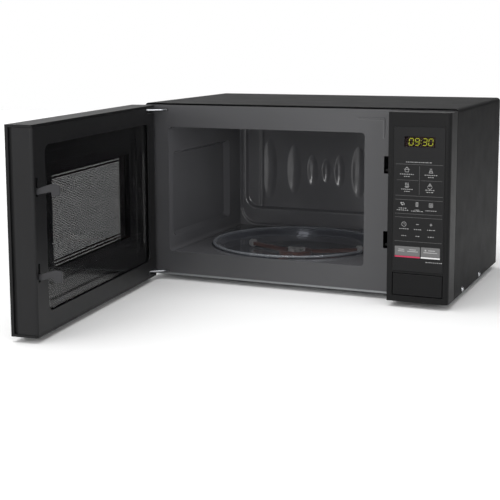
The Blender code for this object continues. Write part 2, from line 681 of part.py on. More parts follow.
def dimple_places():
    """X, half width and half height of the seven dimples, from the middle outwards."""
    half_span = (CAVITY_RIGHT - CAVITY_LEFT) / 2
    half_niche = (CAVITY_TOP - CAVITY_FLOOR - NICHE_BOTTOM - NICHE_MARGIN) / 2
    row = ((0, 0.041, 0.27), (0.156, 0.054, 0.36), (0.371, 0.077, 0.57), (0.66, 0.082, 0.71))
    return [(TABLE_X + side * place * half_span, width * half_span, height * half_niche)
            for place, width, height in row for side in ((-1, 1) if place else (1,))]


def channel(name, side, grow, near, far):
    """An upright pressed channel near one side of the niche."""
    x = TABLE_X + side * ((CAVITY_RIGHT - CAVITY_LEFT) / 2 - CHANNEL_INSET - CHANNEL_WIDTH / 2)
    half = CHANNEL_WIDTH / 2 + grow
    outline = rounded(x - half, CAVITY_FLOOR + NICHE_BOTTOM - CHANNEL_DROP - grow, x + half,
                      CAVITY_TOP - CHANNEL_TOP_GAP + grow, 0.0035 + grow, 3)
    return prism(name, outline, near, far, "Y")


def cavity_back(parent):
    """The pressed back wall: rim, dish, niche, two upright channels and seven dimples."""
    rim = CAVITY_REAR + FIT
    dish_floor = rim + DISH_DEPTH
    floor = dish_floor + NICHE_DEPTH
    skin = floor + SHEET / 2
    outline = rounded(CAVITY_LEFT - SHEET, CAVITY_FLOOR - SHEET, CAVITY_RIGHT + SHEET,
                      CAVITY_TOP + SHEET, 0.006, 3)
    made = prism("cavity_back", outline, rim, rim + SHEET, "Y")
    fuse(made, dish("dish_skin", SHEET / 2, (rim + SHEET / 2, dish_floor + SHEET)))
    fuse(made, niche("niche_skin", SHEET, (dish_floor, floor + SHEET)))
    for x, width, height in dimple_places():
        fuse(made, dimple("dimple_skin", x, width + SHEET, height + SHEET, skin,
                          floor + DIMPLE_DEPTH + SHEET))
    for side in (-1, 1):
        fuse(made, channel("channel_skin", side, SHEET, skin, floor + CHANNEL_DEPTH + SHEET))
    cut(made, dish("dish", 0, (rim - 0.01, dish_floor)))
    cut(made, niche("niche", 0, (dish_floor - 0.0002, floor)))
    for x, width, height in dimple_places():
        cut(made, dimple("dimple", x, width, height, floor - 0.0002, floor + DIMPLE_DEPTH))
    for side in (-1, 1):
        cut(made, channel("channel", side, 0, floor - 0.0002, floor + CHANNEL_DEPTH))
    return finish(made, parent, material("back_enamel", "39393b", 0.33, 0.1))


def waveguide_cover(parent):
    """The mica sheet over the waveguide's port."""
    edge = 0.004
    made = block("waveguide_cover",
                 (CAVITY_RIGHT - FIT - SHEET, WAVEGUIDE_FRONT + edge, WAVEGUIDE_Z + edge),
                 (CAVITY_RIGHT - FIT, WAVEGUIDE_FRONT + WAVEGUIDE_LENGTH - edge,
                  WAVEGUIDE_Z + WAVEGUIDE_HEIGHT - edge))
    return finish(made, parent, material("mica", "8d8372", 0.6))


# ---------------------------------------------------------------- turntable


def turntable_motor(parent):
    """A flat geared motor between the base plate and the floor's well."""
    top = WELL_FLOOR - SHEET - FIT
    made = rod("turntable_motor", (TABLE_X, TABLE_Y), MOTOR_RADIUS, BASE_TOP, top, sides=32)
    ears = block("ears", (TABLE_X - MOTOR_RADIUS - 0.008, TABLE_Y - 0.006, top - 0.0015),
                 (TABLE_X + MOTOR_RADIUS + 0.008, TABLE_Y + 0.006, top))
    fuse(made, ears)
    cut(made, rod("hole", (TABLE_X, TABLE_Y), SHAFT_RADIUS + AXLE_CLEARANCE, top - 0.003,
                  top + 0.01, sides=20))
    return finish(made, parent, material("motor_can", "b9babc", 0.35, 0.9))


def turntable_coupler(parent):
    """The plastic hub on the motor's shaft; three wings turn the tray."""
    shaft_low = WELL_FLOOR - SHEET - FIT - 0.0025
    hub_low = WELL_FLOOR + 0.001
    top = TRAY_BOTTOM - FIT
    profile = [(0, shaft_low), (SHAFT_RADIUS, shaft_low), (SHAFT_RADIUS, hub_low),
               (HUB_RADIUS, hub_low), (HUB_RADIUS, top), (0, top)]
    made = lathe("turntable_coupler", profile, (TABLE_X, TABLE_Y, 0), sides=24)
    for i in range(3):
        angle = FIRST_ARM + i * 2 * math.pi / 3
        wing = spoke("wing", angle, HUB_RADIUS - 0.002, WING_REACH, 0.005, hub_low + 0.003, top)
        fuse(made, wing)
    return finish(made, parent, material("coupler_plastic", "d6d1c6", 0.5))


def spoke(name, angle, near, far, width, low, high):
    """A bar standing out from the turntable's axis at an angle."""
    along = Vector((math.cos(angle), math.sin(angle)))
    across = Vector((-along.y, along.x)) * width / 2
    middle = Vector((TABLE_X, TABLE_Y))
    outline = [middle + along * near - across, middle + along * far - across,
               middle + along * far + across, middle + along * near + across]
    return prism(name, [tuple(point) for point in outline], low, high)


def glass_tray(parent):
    """A shallow glass plate with an upturned rim and three lugs that the coupler turns."""
    t = TRAY_THICKNESS
    base = TRAY_BASE_RADIUS
    profile = [(0, TRAY_BOTTOM), (base, TRAY_BOTTOM), (TRAY_RADIUS - 0.004, TRAY_TOP - t - 0.0015),
               (TRAY_RADIUS, TRAY_TOP - t + 0.0005), (TRAY_RADIUS, TRAY_TOP - 0.001),
               (TRAY_RADIUS - 0.001, TRAY_TOP), (TRAY_RADIUS - 0.0045, TRAY_TOP),
               (base - 0.001, TRAY_BOTTOM + t), (0, TRAY_BOTTOM + t)]
    made = lathe("glass_tray", profile, (TABLE_X, TABLE_Y, 0), sides=64)
    for i in range(3):
        angle = FIRST_ARM + LUG_TURN + i * 2 * math.pi / 3
        fuse(made, spoke("lug", angle, HUB_RADIUS + 0.002, WING_REACH, 0.005,
                         TRAY_BOTTOM - 0.003, TRAY_BOTTOM + t / 2))
    return finish(made, parent, material("tray_glass", "b8c4c2", 0.05))


def roller_ring(parent):
    """The three-armed roller support that turns under the tray at half its speed."""
    low = ROLLER_Z - 0.0030
    high = ROLLER_Z + 0.0030
    profile = [(RING_INNER, low), (RING_OUTER, low), (RING_OUTER, high), (RING_INNER, high)]
    made = lathe("roller_ring", profile, (TABLE_X, TABLE_Y, 0), sides=36)
    inner_face = ROLLER_TRACK - ROLLER_WIDTH / 2 - FIT
    outer_face = ROLLER_TRACK + ROLLER_WIDTH / 2 + FIT
    for i in range(3):
        angle = FIRST_ARM + i * 2 * math.pi / 3
        fuse(made, spoke("arm", angle, RING_OUTER - 0.003, inner_face, 0.007, low, high - 0.001))
        axle = rod("axle", (0, 0), AXLE_RADIUS, inner_face - 0.002, outer_face + 0.0015, "X", 16)
        axle.data.transform(Matrix.Rotation(angle, 4, "Z"))
        axle.data.transform(Matrix.Translation((TABLE_X, TABLE_Y, ROLLER_Z)))
        fuse(made, axle)
        fuse(made, spoke("cap", angle, outer_face, outer_face + 0.002, 0.006, low, high))
    return finish(made, parent, material("ring_plastic", "5a3a2c", 0.45))


def rollers(ring_pivot):
    """Three rollers on the ring's axles; each one's own X axis points outward."""
    for i in range(3):
        angle = FIRST_ARM + i * 2 * math.pi / 3
        centre = (TABLE_X + ROLLER_TRACK * math.cos(angle),
                  TABLE_Y + ROLLER_TRACK * math.sin(angle), ROLLER_Z)
        half = ROLLER_WIDTH / 2
        bore = AXLE_RADIUS + AXLE_CLEARANCE
        profile = [(bore, -half), (ROLLER_RADIUS - 0.0008, -half), (ROLLER_RADIUS, 0.0008 - half),
                   (ROLLER_RADIUS, half - 0.0008), (ROLLER_RADIUS - 0.0008, half), (bore, half)]
        made = lathe(f"roller_{i + 1}", profile, (0, 0, 0), "X", 20)
        finish(made, ring_pivot, material(f"roller_{i + 1}_plastic", "d9d6cd", 0.45))
        made.location = Vector(centre) - Vector(ring_pivot["layout_point"])
        made.rotation_euler.z = angle


# ---------------------------------------------------------------- control panel


def overlay_sides():
    """Left, right, bottom and top of the key membrane."""
    return (PANEL_LEFT + OVERLAY_MARGIN, CASE_WIDTH - OVERLAY_MARGIN,
            BUTTON_BOTTOM + BUTTON_HEIGHT + OVERLAY_ABOVE_BUTTON, PANEL_TOP - OVERLAY_TOP_GAP)


def display_sides():
    """Left, right, bottom and top of the display's window."""
    left, right, _, top = overlay_sides()
    return (left + DISPLAY_LEFT_INSET, right - DISPLAY_RIGHT_INSET,
            top - DISPLAY_BELOW_OVERLAY_TOP - DISPLAY_HEIGHT, top - DISPLAY_BELOW_OVERLAY_TOP)


def board_sides():
    """Left, right, bottom and top of the control board."""
    return (PANEL_LEFT + 0.010, CASE_WIDTH - 0.010, 0.060, PANEL_TOP - 0.022)


def control_panel(parent):
    """The moulded bezel: hollow from behind, with posts for the board."""
    front = -PANEL_DEPTH
    inner = front + PLASTIC
    outline = rounded(PANEL_LEFT, front, CASE_WIDTH, -FIT, PANEL_EDGE_RADIUS, 5, (1,))
    made = prism("control_panel", outline, 0, PANEL_TOP)
    cut(made, block("inside", (PANEL_LEFT + PLASTIC, inner, PLASTIC),
                    (CASE_WIDTH - PLASTIC, 0.01, PANEL_TOP - PLASTIC)))
    left, right, low, high = overlay_sides()
    cut(made, block("recess", (left - FIT, front - 0.01, low - FIT),
                    (right + FIT, front + OVERLAY_THICKNESS, high + FIT)))
    left, right, low, high = display_sides()
    cut(made, block("display", (left - FIT, front - 0.01, low - FIT),
                    (right + FIT, 0, high + FIT)))
    cut(made, block("button", (PANEL_LEFT + BUTTON_MARGIN, front - 0.01, BUTTON_BOTTOM),
                    (CASE_WIDTH - BUTTON_MARGIN, -0.02, BUTTON_BOTTOM + BUTTON_HEIGHT)))
    left, right, low, high = board_sides()
    for x in (left + 0.004, right - 0.004):
        for z in (low + 0.005, high - 0.004):
            fuse(made, rod("post", (x, z), 0.0025, front + PLASTIC / 2,
                           inner + BOARD_STANDOFF - FIT, "Y", 12))
    return finish(made, parent, material("panel_abs", "29292b", 0.42))


def key_membrane(parent):
    """The printed key sheet in the bezel's recess."""
    left, right, low, high = overlay_sides()
    front = -PANEL_DEPTH - 0.0003
    back = -PANEL_DEPTH + OVERLAY_THICKNESS - FIT
    made = block("key_membrane", (left, front, low), (right, back, high))
    left, right, low, high = display_sides()
    cut(made, block("window", (left - FIT, front - 0.01, low - FIT),
                    (right + FIT, back + 0.01, high + FIT)))
    return finish(made, parent, material("overlay_film", "343436", 0.35))


def display_window(parent):
    """The tinted lens in front of the display."""
    left, right, low, high = display_sides()
    front = -PANEL_DEPTH - 0.0003
    made = block("display_window", (left, front, low), (right, front + 0.0018, high))
    return finish(made, parent, material("display_lens", "1d1416", 0.1))


def display_module(parent):
    """The digit display on the control board, behind its lens."""
    left, right, low, high = display_sides()
    inner = -PANEL_DEPTH + PLASTIC
    made = block("display_module", (left - 0.002, inner + FIT, low - 0.004),
                 (right + 0.002, inner + BOARD_STANDOFF - FIT, high + 0.004))
    return finish(made, parent, material("display_case", "101011", 0.4))


def control_board(parent):
    """The circuit board, with its relays, transformer and plug header."""
    left, right, low, high = board_sides()
    near = -PANEL_DEPTH + PLASTIC + BOARD_STANDOFF
    far = near + BOARD_THICKNESS
    made = block("control_board", (left, near, low), (right, far, high))
    lumps = ((0.006, 0.012, 0.020, 0.018, 0.011), (0.032, 0.012, 0.020, 0.018, 0.011),
             (0.008, 0.045, 0.026, 0.024, 0.014), (0.040, 0.050, 0.010, 0.022, 0.008))
    for x, z, width, height, depth in lumps:
        fuse(made, block("lump", (left + x, near + BOARD_THICKNESS / 2, low + z),
                         (left + x + width, far + depth, low + z + height)))
    return finish(made, parent, material("board_green", "2f5a3a", 0.5))


def release_button(button_pivot):
    """The large push button, with a skirt and the ram that pushes the lever."""
    front = -PANEL_DEPTH
    low = (PANEL_LEFT + BUTTON_MARGIN + BUTTON_GAP, front, BUTTON_BOTTOM + BUTTON_GAP)
    high = (CASE_WIDTH - BUTTON_MARGIN - BUTTON_GAP, front + BUTTON_SKIRT,
            BUTTON_BOTTOM + BUTTON_HEIGHT - BUTTON_GAP)
    made = block("release_button", low, high)
    cut(made, block("inside", (low[0] + PLASTIC, front + PLASTIC, low[2] + PLASTIC),
                    (high[0] - PLASTIC, front + BUTTON_SKIRT + 0.01, high[2] - PLASTIC)))
    ram_x = PANEL_LEFT + 0.014
    ram_top = LEVER_PIVOT_Z - LEVER_INPUT_ARM + 0.0005
    ram_end = LEVER_PIVOT_Y - LEVER_SHAFT_RADIUS + 0.0004
    fuse(made, block("ram", (ram_x, front + PLASTIC / 2, ram_top - 0.003),
                     (ram_x + 0.008, ram_end, ram_top)))
    return finish(made, button_pivot, material("button_abs", "242426", 0.4))


# ---------------------------------------------------------------- latch


def release_lever(lever_pivot):
    """A shaft along X with an arm down to the button and a bent arm up to the lower hook."""
    y = LEVER_PIVOT_Y
    z = LEVER_PIVOT_Z
    far_end = PANEL_LEFT + 0.027
    shaft_start = HOOK_X - 0.0018
    made = rod("release_lever", (y, z), LEVER_SHAFT_RADIUS, shaft_start, far_end, "X", 24)
    tip = LEVER_SHAFT_RADIUS
    bent = [(y - tip, z - tip), (y + 0.019, z - 0.001), (y + 0.0225, z + 0.0005),
            (y + 0.0225, HOOK_LOW - 0.0026), (y + 0.0205, HOOK_LOW - 0.0016),
            (y + 0.0185, HOOK_LOW - 0.0026), (y + 0.0175, z + 0.005), (y, z + tip)]
    fuse(made, prism("output", bent, shaft_start, HOOK_X + 0.0018, "X"))
    down = [(y - 0.002, z - LEVER_INPUT_ARM - 0.003), (y + 0.002, z - LEVER_INPUT_ARM - 0.003),
            (y + 0.0028, z), (y - 0.002, z)]
    near = PANEL_LEFT + 0.013
    fuse(made, prism("input", down, near, near + INPUT_ARM_WIDTH, "X"))
    return finish(made, lever_pivot, material("lever_plastic", "c9c6bd", 0.5))


def latch_board(parent):
    """The moulded holder behind the plate: keepers for the hooks, and the lever's bearings."""
    wall = (LATCH_WALL, LATCH_WALL + LATCH_WALL_THICKNESS)
    start = SHEET + FIT
    top = HOOK_HIGH + 0.034
    bearing = LEVER_SHAFT_RADIUS + PIN_CLEARANCE
    end_wall = PANEL_LEFT + 0.0245
    made = block("latch_board", (wall[0], start, LEVER_PIVOT_Z - 0.008), (wall[1], 0.048, top))
    fuse(made, block("flange", (wall[0] + 0.001, start, LEVER_PIVOT_Z + 0.008),
                     (end_wall + 0.0025, start + PLASTIC, top)))
    fuse(made, block("end", (end_wall, start, LEVER_PIVOT_Z - 0.008),
                     (end_wall + 0.0025, 0.014, LEVER_PIVOT_Z + 0.012)))
    for head in HOOKS:
        fuse(made, block("keeper", (HOOK_X - 0.006, KEEPER_Y[0], head - 0.0012),
                         (wall[0] + 0.001, KEEPER_Y[1], head + 0.0017)))
    cut(made, rod("bearing", (LEVER_PIVOT_Y, LEVER_PIVOT_Z), bearing, wall[0] - 0.01,
                  end_wall + 0.01, "X", 24))
    return finish(made, parent, material("latch_plastic", "d8d3c4", 0.5))


def micro_switch(name, low_corner, parent):
    """A snap switch whose plunger faces the hook's tip."""
    x, y, z = low_corner
    width = 0.0104
    made = block(name, (x, y, z), (x + width, y + 0.016, z + 0.028))
    fuse(made, block("plunger", (x + 0.0035, y - 0.0015, z + 0.012),
                     (x + 0.0069, y + 0.001, z + 0.016)))
    return finish(made, parent, material(name + "_case", "8a2f28", 0.45))


def switches(parent):
    """Two switches behind the hooks and the monitor switch on the wall's other side."""
    y = HOOK_REACH + 0.0024
    beside = LATCH_WALL - FIT - 0.0104
    micro_switch("primary_switch", (beside, y, HOOK_HIGH - 0.007), parent)
    micro_switch("secondary_switch", (beside, y, HOOK_LOW - 0.007), parent)
    outer = LATCH_WALL + LATCH_WALL_THICKNESS + FIT
    micro_switch("monitor_switch", (outer, y, HOOK_LOW - 0.007), parent)


def latch_lever(latch_pivot):
    """The upright bar in the door that carries both hooks."""
    front = BAR_BACK - BAR_DEPTH
    outline = [(front, BAR_LOW), (BAR_BACK, BAR_LOW)]
    for head in HOOKS:
        outline += [(BAR_BACK, head + 0.0009), (0.0, head + 0.0012), (0.0170, head + 0.0051),
                    (0.0180, head), (HOOK_REACH - 0.0004, head + 0.0006),
                    (HOOK_REACH, head + 0.0130), (0.0240, head + HOOK_HEAD - 0.0002), (0.0190, head + HOOK_HEAD),
                    (0.0100, head + 0.0118), (0.0, head + 0.0082), (BAR_BACK, head + 0.0079)]
    outline += [(BAR_BACK, BAR_HIGH), (front, BAR_HIGH)]
    made = prism("latch_lever", outline, HOOK_X - HOOK_THICKNESS / 2,
                 HOOK_X + HOOK_THICKNESS / 2, "X")
    return finish(made, latch_pivot, material("hook_plastic", "3a3a3c", 0.4))


def latch_spring(latch_pivot):
    """A compression spring over the bar, from its top to the post in the frame."""
    shape = bmesh.new()
    sides = 5
    per_turn = 8
    count = SPRING_TURNS * per_turn
    x = HOOK_X
    y = BAR_BACK - BAR_DEPTH / 2
    low = BAR_HIGH + FIT + SPRING_WIRE
    rise = SPRING_LENGTH - 2 * FIT - 2 * SPRING_WIRE
    rings = []
    for i in range(count + 1):
        angle = 2 * math.pi * i / per_turn
        ring = []
        for j in range(sides):
            around = 2 * math.pi * j / sides
            radius = SPRING_RADIUS + SPRING_WIRE * math.cos(around)
            height = low + rise * i / count + SPRING_WIRE * math.sin(around)
            ring.append(shape.verts.new((x + radius * math.cos(angle),
                                         y + radius * math.sin(angle), height)))
        rings.append(ring)
    for ring, following in zip(rings, rings[1:]):
        for j in range(sides):
            k = (j + 1) % sides
            shape.faces.new((ring[j], ring[k], following[k], following[j]))
    shape.faces.new(rings[0])
    shape.faces.new(rings[-1])
    made = from_bmesh("latch_spring", shape, 60)
    return finish(made, latch_pivot, material("spring_steel", "9a9ca0", 0.3, 1.0))


# ---------------------------------------------------------------- hinges and door


def leaf_outline():
    """From above: round about the pin, then back through the plate's slot."""
    nose = [(HINGE_X + 0.0055 * math.cos(a), HINGE_Y + 0.0055 * math.sin(a))
            for a in (math.pi * (1 + i / 6) for i in range(6))]
    return nose + [(NOTCH_WIDTH - 0.001, -0.004), (NOTCH_WIDTH - 0.001, -0.0012),
                   (LEAF_REACH, -0.0012), (LEAF_REACH, 0.003), (0.004, 0.003), (0.004, -0.004)]


def hinge(name, leaf, pin_way, parent):
    """A steel leaf with the door's pin, and a flange behind the plate.

    pin_way is -1 where the pin hangs down into the door and 1 where it stands up.
    """
    made = prism(name, leaf_outline(), leaf, leaf + LEAF_THICKNESS)
    flange_end = leaf + (-LEAF_FLANGE if pin_way < 0 else LEAF_FLANGE + LEAF_THICKNESS)
    back = SHEET + FIT
    low, high = sorted((flange_end, leaf + LEAF_THICKNESS / 2))
    fuse(made, block("flange", (0.004, back, low), (LEAF_REACH - 0.002, back + LEAF_THICKNESS,
                                                    high)))
    start = leaf if pin_way < 0 else leaf + LEAF_THICKNESS
    low, high = sorted((start - pin_way * 0.0005, start + pin_way * PIN_LENGTH))
    fuse(made, rod("pin", (HINGE_X, HINGE_Y), PIN_RADIUS, low, high, sides=24))
    return finish(made, parent, material(name + "_steel", "b4b6b9", 0.3, 1.0))


def door_frame(door_pivot):
    """The door's outer moulding: face ring, end grooves, top and bottom walls and bosses."""
    skin_back = DOOR_FRONT + COVER_SKIN
    made = block("door_frame", (DOOR_LEFT, DOOR_FRONT, DOOR_BOTTOM),
                 (DOOR_RIGHT, skin_back, DOOR_TOP))
    spine = block("spine", (DOOR_LEFT + GROOVE_INSET, skin_back - 0.001, DOOR_BOTTOM + 0.001),
                  (DOOR_RIGHT - GROOVE_INSET, GROOVE_BACK, DOOR_TOP - 0.001))
    fuse(made, spine)
    corner = 0.003
    wall_outline = rounded(DOOR_LEFT, skin_back - 0.001, DOOR_RIGHT, DOOR_BACK, corner, 3, (2, 3))
    fuse(made, prism("roof", wall_outline, DOOR_TOP - CAP, DOOR_TOP))
    fuse(made, prism("floor", wall_outline, DOOR_BOTTOM, DOOR_BOTTOM + CAP))
    boss_right = HINGE_X + 0.006
    for low, high in ((NOTCH_TOP - BOSS_DEPTH, NOTCH_TOP - FIT),
                      (NOTCH_BOTTOM + FIT, NOTCH_BOTTOM + BOSS_DEPTH)):
        fuse(made, block("boss", (DOOR_LEFT + GROOVE_INSET, GROOVE_BACK - 0.001, low),
                         (boss_right, HINGE_Y + 0.006, high)))
        cut(made, rod("bearing", (HINGE_X, HINGE_Y), PIN_RADIUS + PIN_CLEARANCE, low - 0.01,
                      high + 0.01, sides=24))
    post = (HOOK_X - 0.005, GROOVE_BACK - 0.001)
    post_end = (HOOK_X + 0.0045, BAR_BACK - 0.0005)
    fuse(made, block("post", (*post, BAR_HIGH + SPRING_LENGTH), (*post_end, BAR_HIGH
                                                                + SPRING_LENGTH + 0.003)))
    fuse(made, block("stop", (*post, BAR_LOW - FIT - 0.003), (*post_end, BAR_LOW - FIT)))
    outer = rounded(DOOR_LEFT + PANE_MARGIN, DOOR_BOTTOM + PANE_MARGIN, DOOR_RIGHT - PANE_MARGIN,
                    DOOR_TOP - PANE_MARGIN, 0.006, 3)
    cut(made, prism("pane_seat", outer, DOOR_FRONT - 0.01, DOOR_FRONT + PANE_THICKNESS + FIT, "Y"))
    edge = PANE_MARGIN + PANE_LEDGE
    through = rounded(DOOR_LEFT + edge, DOOR_BOTTOM + edge, DOOR_RIGHT - edge, DOOR_TOP - edge,
                      0.004, 3)
    cut(made, prism("through", through, DOOR_FRONT - 0.01, GROOVE_BACK + 0.005, "Y"))
    return finish(made, door_pivot, material("door_abs", "333335", 0.4))


def door_window(door_pivot):
    """The dark outer pane."""
    margin = PANE_MARGIN + FIT
    outline = rounded(DOOR_LEFT + margin, DOOR_BOTTOM + margin, DOOR_RIGHT - margin,
                      DOOR_TOP - margin, 0.0057, 3)
    made = prism("door_window", outline, DOOR_FRONT, DOOR_FRONT + PANE_THICKNESS, "Y")
    return finish(made, door_pivot, material("outer_pane", "161618", 0.06))


def cover_window():
    """Left, bottom, right and top of the window in the inner cover."""
    return (DOOR_LEFT + COVER_WINDOW_LEFT, DOOR_BOTTOM + COVER_WINDOW_BOTTOM,
            DOOR_RIGHT - COVER_WINDOW_RIGHT, DOOR_TOP - COVER_WINDOW_TOP)


def choke_cover(door_pivot):
    """The grey moulding round the door's inner face, notched for the hinges."""
    front = GROOVE_BACK + FIT
    outline = rounded(COVER_LEFT, front, COVER_RIGHT, DOOR_BACK, COVER_EDGE_RADIUS, 3, (2, 3))
    made = prism("choke_cover", outline, COVER_BOTTOM, COVER_TOP)
    cut(made, block("inside", (COVER_LEFT + PLASTIC, front - 0.01, COVER_BOTTOM + PLASTIC),
                    (COVER_RIGHT - PLASTIC, DOOR_BACK - PLASTIC, COVER_TOP - PLASTIC)))
    left, low, right, high = cover_window()
    window = rounded(left, low, right, high, COVER_WINDOW_RADIUS, 5)
    cut(made, prism("window", window, DOOR_BACK - 0.006, DOOR_BACK + 0.01, "Y"))
    for head in HOOKS:
        low = head - SLOT_CLEARANCE
        slot = rounded(HOOK_X - SLOT_WIDTH / 2, low, HOOK_X + SLOT_WIDTH / 2, low + SLOT_LENGTH,
                       0.001, 2)
        cut(made, prism("slot", slot, DOOR_BACK - 0.006, DOOR_BACK + 0.01, "Y"))
    for low, high in ((NOTCH_TOP, COVER_TOP + 0.001), (COVER_BOTTOM - 0.001, NOTCH_BOTTOM)):
        cut(made, block("notch", (COVER_LEFT - 0.01, front - 0.01, low),
                        (NOTCH_WIDTH, DOOR_BACK + 0.01, high)))
    return finish(made, door_pivot, material("cover_plastic", "3a3a3c", 0.38))


def door_panel(door_pivot):
    """The steel screen, folded towards the front all round to make the choke."""
    left, low, right, high = cover_window()
    edge = SCREEN_MARGIN
    face = DOOR_BACK - SCREEN_BACK
    front = GROOVE_BACK + FIT
    made = block("door_panel", (left - edge, front, low - edge), (right + edge, face, high + edge))
    cut(made, block("inside", (left - edge + SHEET, front - 0.01, low - edge + SHEET),
                    (right + edge - SHEET, face - SHEET, high + edge - SHEET)))
    return finish(made, door_pivot, material("screen_steel", "1c1c1e", 0.4, 0.4))


def inner_window(door_pivot):
    """The glossy film over the screen, behind the inner cover's window."""
    left, low, right, high = cover_window()
    edge = SCREEN_MARGIN - 0.002
    back = DOOR_BACK - PLASTIC - FIT
    outline = rounded(left - edge, low - edge, right + edge, high + edge, 0.010, 3)
    made = prism("inner_window", outline, back - FILM_THICKNESS, back, "Y")
    return finish(made, door_pivot, material("inner_film", "141416", 0.06))


# ---------------------------------------------------------------- power parts


def waveguide(parent):
    """The tin duct on the cavity's wall, open to the port and to the magnetron's antenna."""
    low = (COMPARTMENT, WAVEGUIDE_FRONT, WAVEGUIDE_Z)
    high = (COMPARTMENT + WAVEGUIDE_DEPTH, WAVEGUIDE_FRONT + WAVEGUIDE_LENGTH,
            WAVEGUIDE_Z + WAVEGUIDE_HEIGHT)
    made = block("waveguide", low, high)
    cut(made, block("inside", (low[0] - 0.01, low[1] + SHEET, low[2] + SHEET),
                    (high[0] - SHEET, high[1] - SHEET, high[2] - SHEET)))
    middle = ((low[1] + high[1]) / 2, (low[2] + high[2]) / 2)
    cut(made, rod("hole", middle, ANTENNA_RADIUS + 0.0005, high[0] - 0.01, high[0] + 0.01, "X", 20))
    return finish(made, parent, material("waveguide_tin", "a9abad", 0.35, 0.9))


def magnetron(parent):
    """Base plate, antenna, finned body and filter box of the magnetron."""
    y = WAVEGUIDE_FRONT + WAVEGUIDE_LENGTH / 2
    z = WAVEGUIDE_Z + WAVEGUIDE_HEIGHT / 2
    x = MAGNETRON_X
    half = 0.040
    made = block("magnetron", (x, y - half, z - half), (x + 0.002, y + half, z + half))
    fuse(made, rod("antenna", (y, z), ANTENNA_RADIUS, x - 0.014, x + 0.001, "X", 20))
    fuse(made, block("body", (x + 0.001, y - 0.034, z - 0.030),
                     (x + MAGNETRON_WIDTH - 0.020, y + 0.034, z + 0.030)))
    for i in range(6):
        groove = x + 0.008 + i * 0.008
        cut(made, block("air", (groove, y - 0.036, z - 0.018), (groove + 0.004, y - 0.014,
                                                                z + 0.018)))
    fuse(made, block("filter", (x + MAGNETRON_WIDTH - 0.021, y - 0.028, z - 0.024),
                     (x + MAGNETRON_WIDTH, y + 0.028, z + 0.024)))
    return finish(made, parent, material("magnetron_tin", "b2b3b5", 0.35, 0.9))


def transformer(parent):
    """The high-voltage transformer: laminated core, two windings and mounting feet."""
    width, depth, height = TRANSFORMER_SIZE
    left = COMPARTMENT + 0.020
    front = TRANSFORMER_FRONT
    made = block("transformer", (left, front, BASE_TOP), (left + width, front + depth,
                                                          BASE_TOP + height))
    coil = rounded(left + 0.010, front - 0.014, left + width - 0.010, front + depth + 0.014,
                   0.010, 3)
    fuse(made, prism("coil", coil, BASE_TOP + 0.012, BASE_TOP + height - 0.014))
    fuse(made, block("feet", (left - 0.006, front + 0.005, BASE_TOP),
                     (left + width + 0.004, front + depth - 0.005, BASE_TOP + 0.002)))
    return finish(made, parent, material("transformer_core", "5b4a3a", 0.6, 0.3))


def capacitor_place():
    """X and Z of the capacitor's axis, and the Y of its two ends."""
    back = REAR_INNER - 0.020
    return (COMPARTMENT + 0.030, BASE_TOP + CAPACITOR_RADIUS + FIT, back - CAPACITOR_LENGTH, back)


def capacitor(parent):
    """The high-voltage capacitor, a can lying on the base with two terminals."""
    x, z, front, back = capacitor_place()
    made = rod("capacitor", (x, z), CAPACITOR_RADIUS, front, back, "Y", 32)
    for side in (-0.008, 0.008):
        fuse(made, block("terminal", (x + side - 0.003, front - 0.009, z - 0.0005),
                         (x + side + 0.003, front + 0.001, z + 0.0005)))
    return finish(made, parent, material("capacitor_can", "c0c1c3", 0.3, 0.9))


def capacitor_clamp(parent):
    """The strap over the capacitor, with a foot on each side."""
    x, z, front, back = capacitor_place()
    inner = CAPACITOR_RADIUS + FIT
    outer = inner + 0.001
    middle = (front + back) / 2
    band = [middle - 0.008, middle + 0.008]
    made = rod("capacitor_clamp", (x, z), outer, band[0], band[1], "Y", 32)
    fuse(made, block("foot", (x - outer - 0.010, band[0], BASE_TOP),
                     (x + outer + 0.010, band[1], BASE_TOP + 0.001)))
    fuse(made, block("side", (x - outer, band[0], BASE_TOP), (x + outer, band[1], z)))
    cut(made, rod("bore", (x, z), inner, band[0] - 0.01, band[1] + 0.01, "Y", 32))
    cut(made, block("under", (x - inner, band[0] - 0.01, BASE_TOP - 0.01),
                    (x + inner, band[1] + 0.01, z)))
    return finish(made, parent, material("clamp_steel", "a3a5a8", 0.4, 0.9))


def diode(parent):
    """The high-voltage diode on its lug, beside the clamp."""
    x, _, front, _ = capacitor_place()
    left = x + CAPACITOR_RADIUS + 0.014
    made = block("diode", (left, front + 0.004, BASE_TOP), (left + 0.012, front + 0.016,
                                                            BASE_TOP + 0.001))
    fuse(made, rod("body", (left + 0.006, BASE_TOP + 0.0038), 0.0035, front + 0.006,
                   front + 0.028, "Y", 12))
    return finish(made, parent, material("diode_epoxy", "1d1d1f", 0.5))


def fan_duct(parent):
    """The shroud on the rear panel: a square box with a round throat."""
    back = REAR_INNER - FIT
    made = block("fan_duct", (DUCT_LEFT, DUCT_FRONT, DUCT_BOTTOM), (DUCT_RIGHT, back, DUCT_TOP))
    cut(made, block("inside", (DUCT_LEFT + PLASTIC, DUCT_FRONT + PLASTIC, DUCT_BOTTOM + PLASTIC),
                    (DUCT_RIGHT - PLASTIC, back + 0.01, DUCT_TOP - PLASTIC)))
    cut(made, rod("throat", (FAN_X, FAN_Z), BORE_RADIUS, DUCT_FRONT - 0.01,
                  DUCT_FRONT + 0.01, "Y", 40))
    return finish(made, parent, material("duct_plastic", "d5d0c2", 0.5))


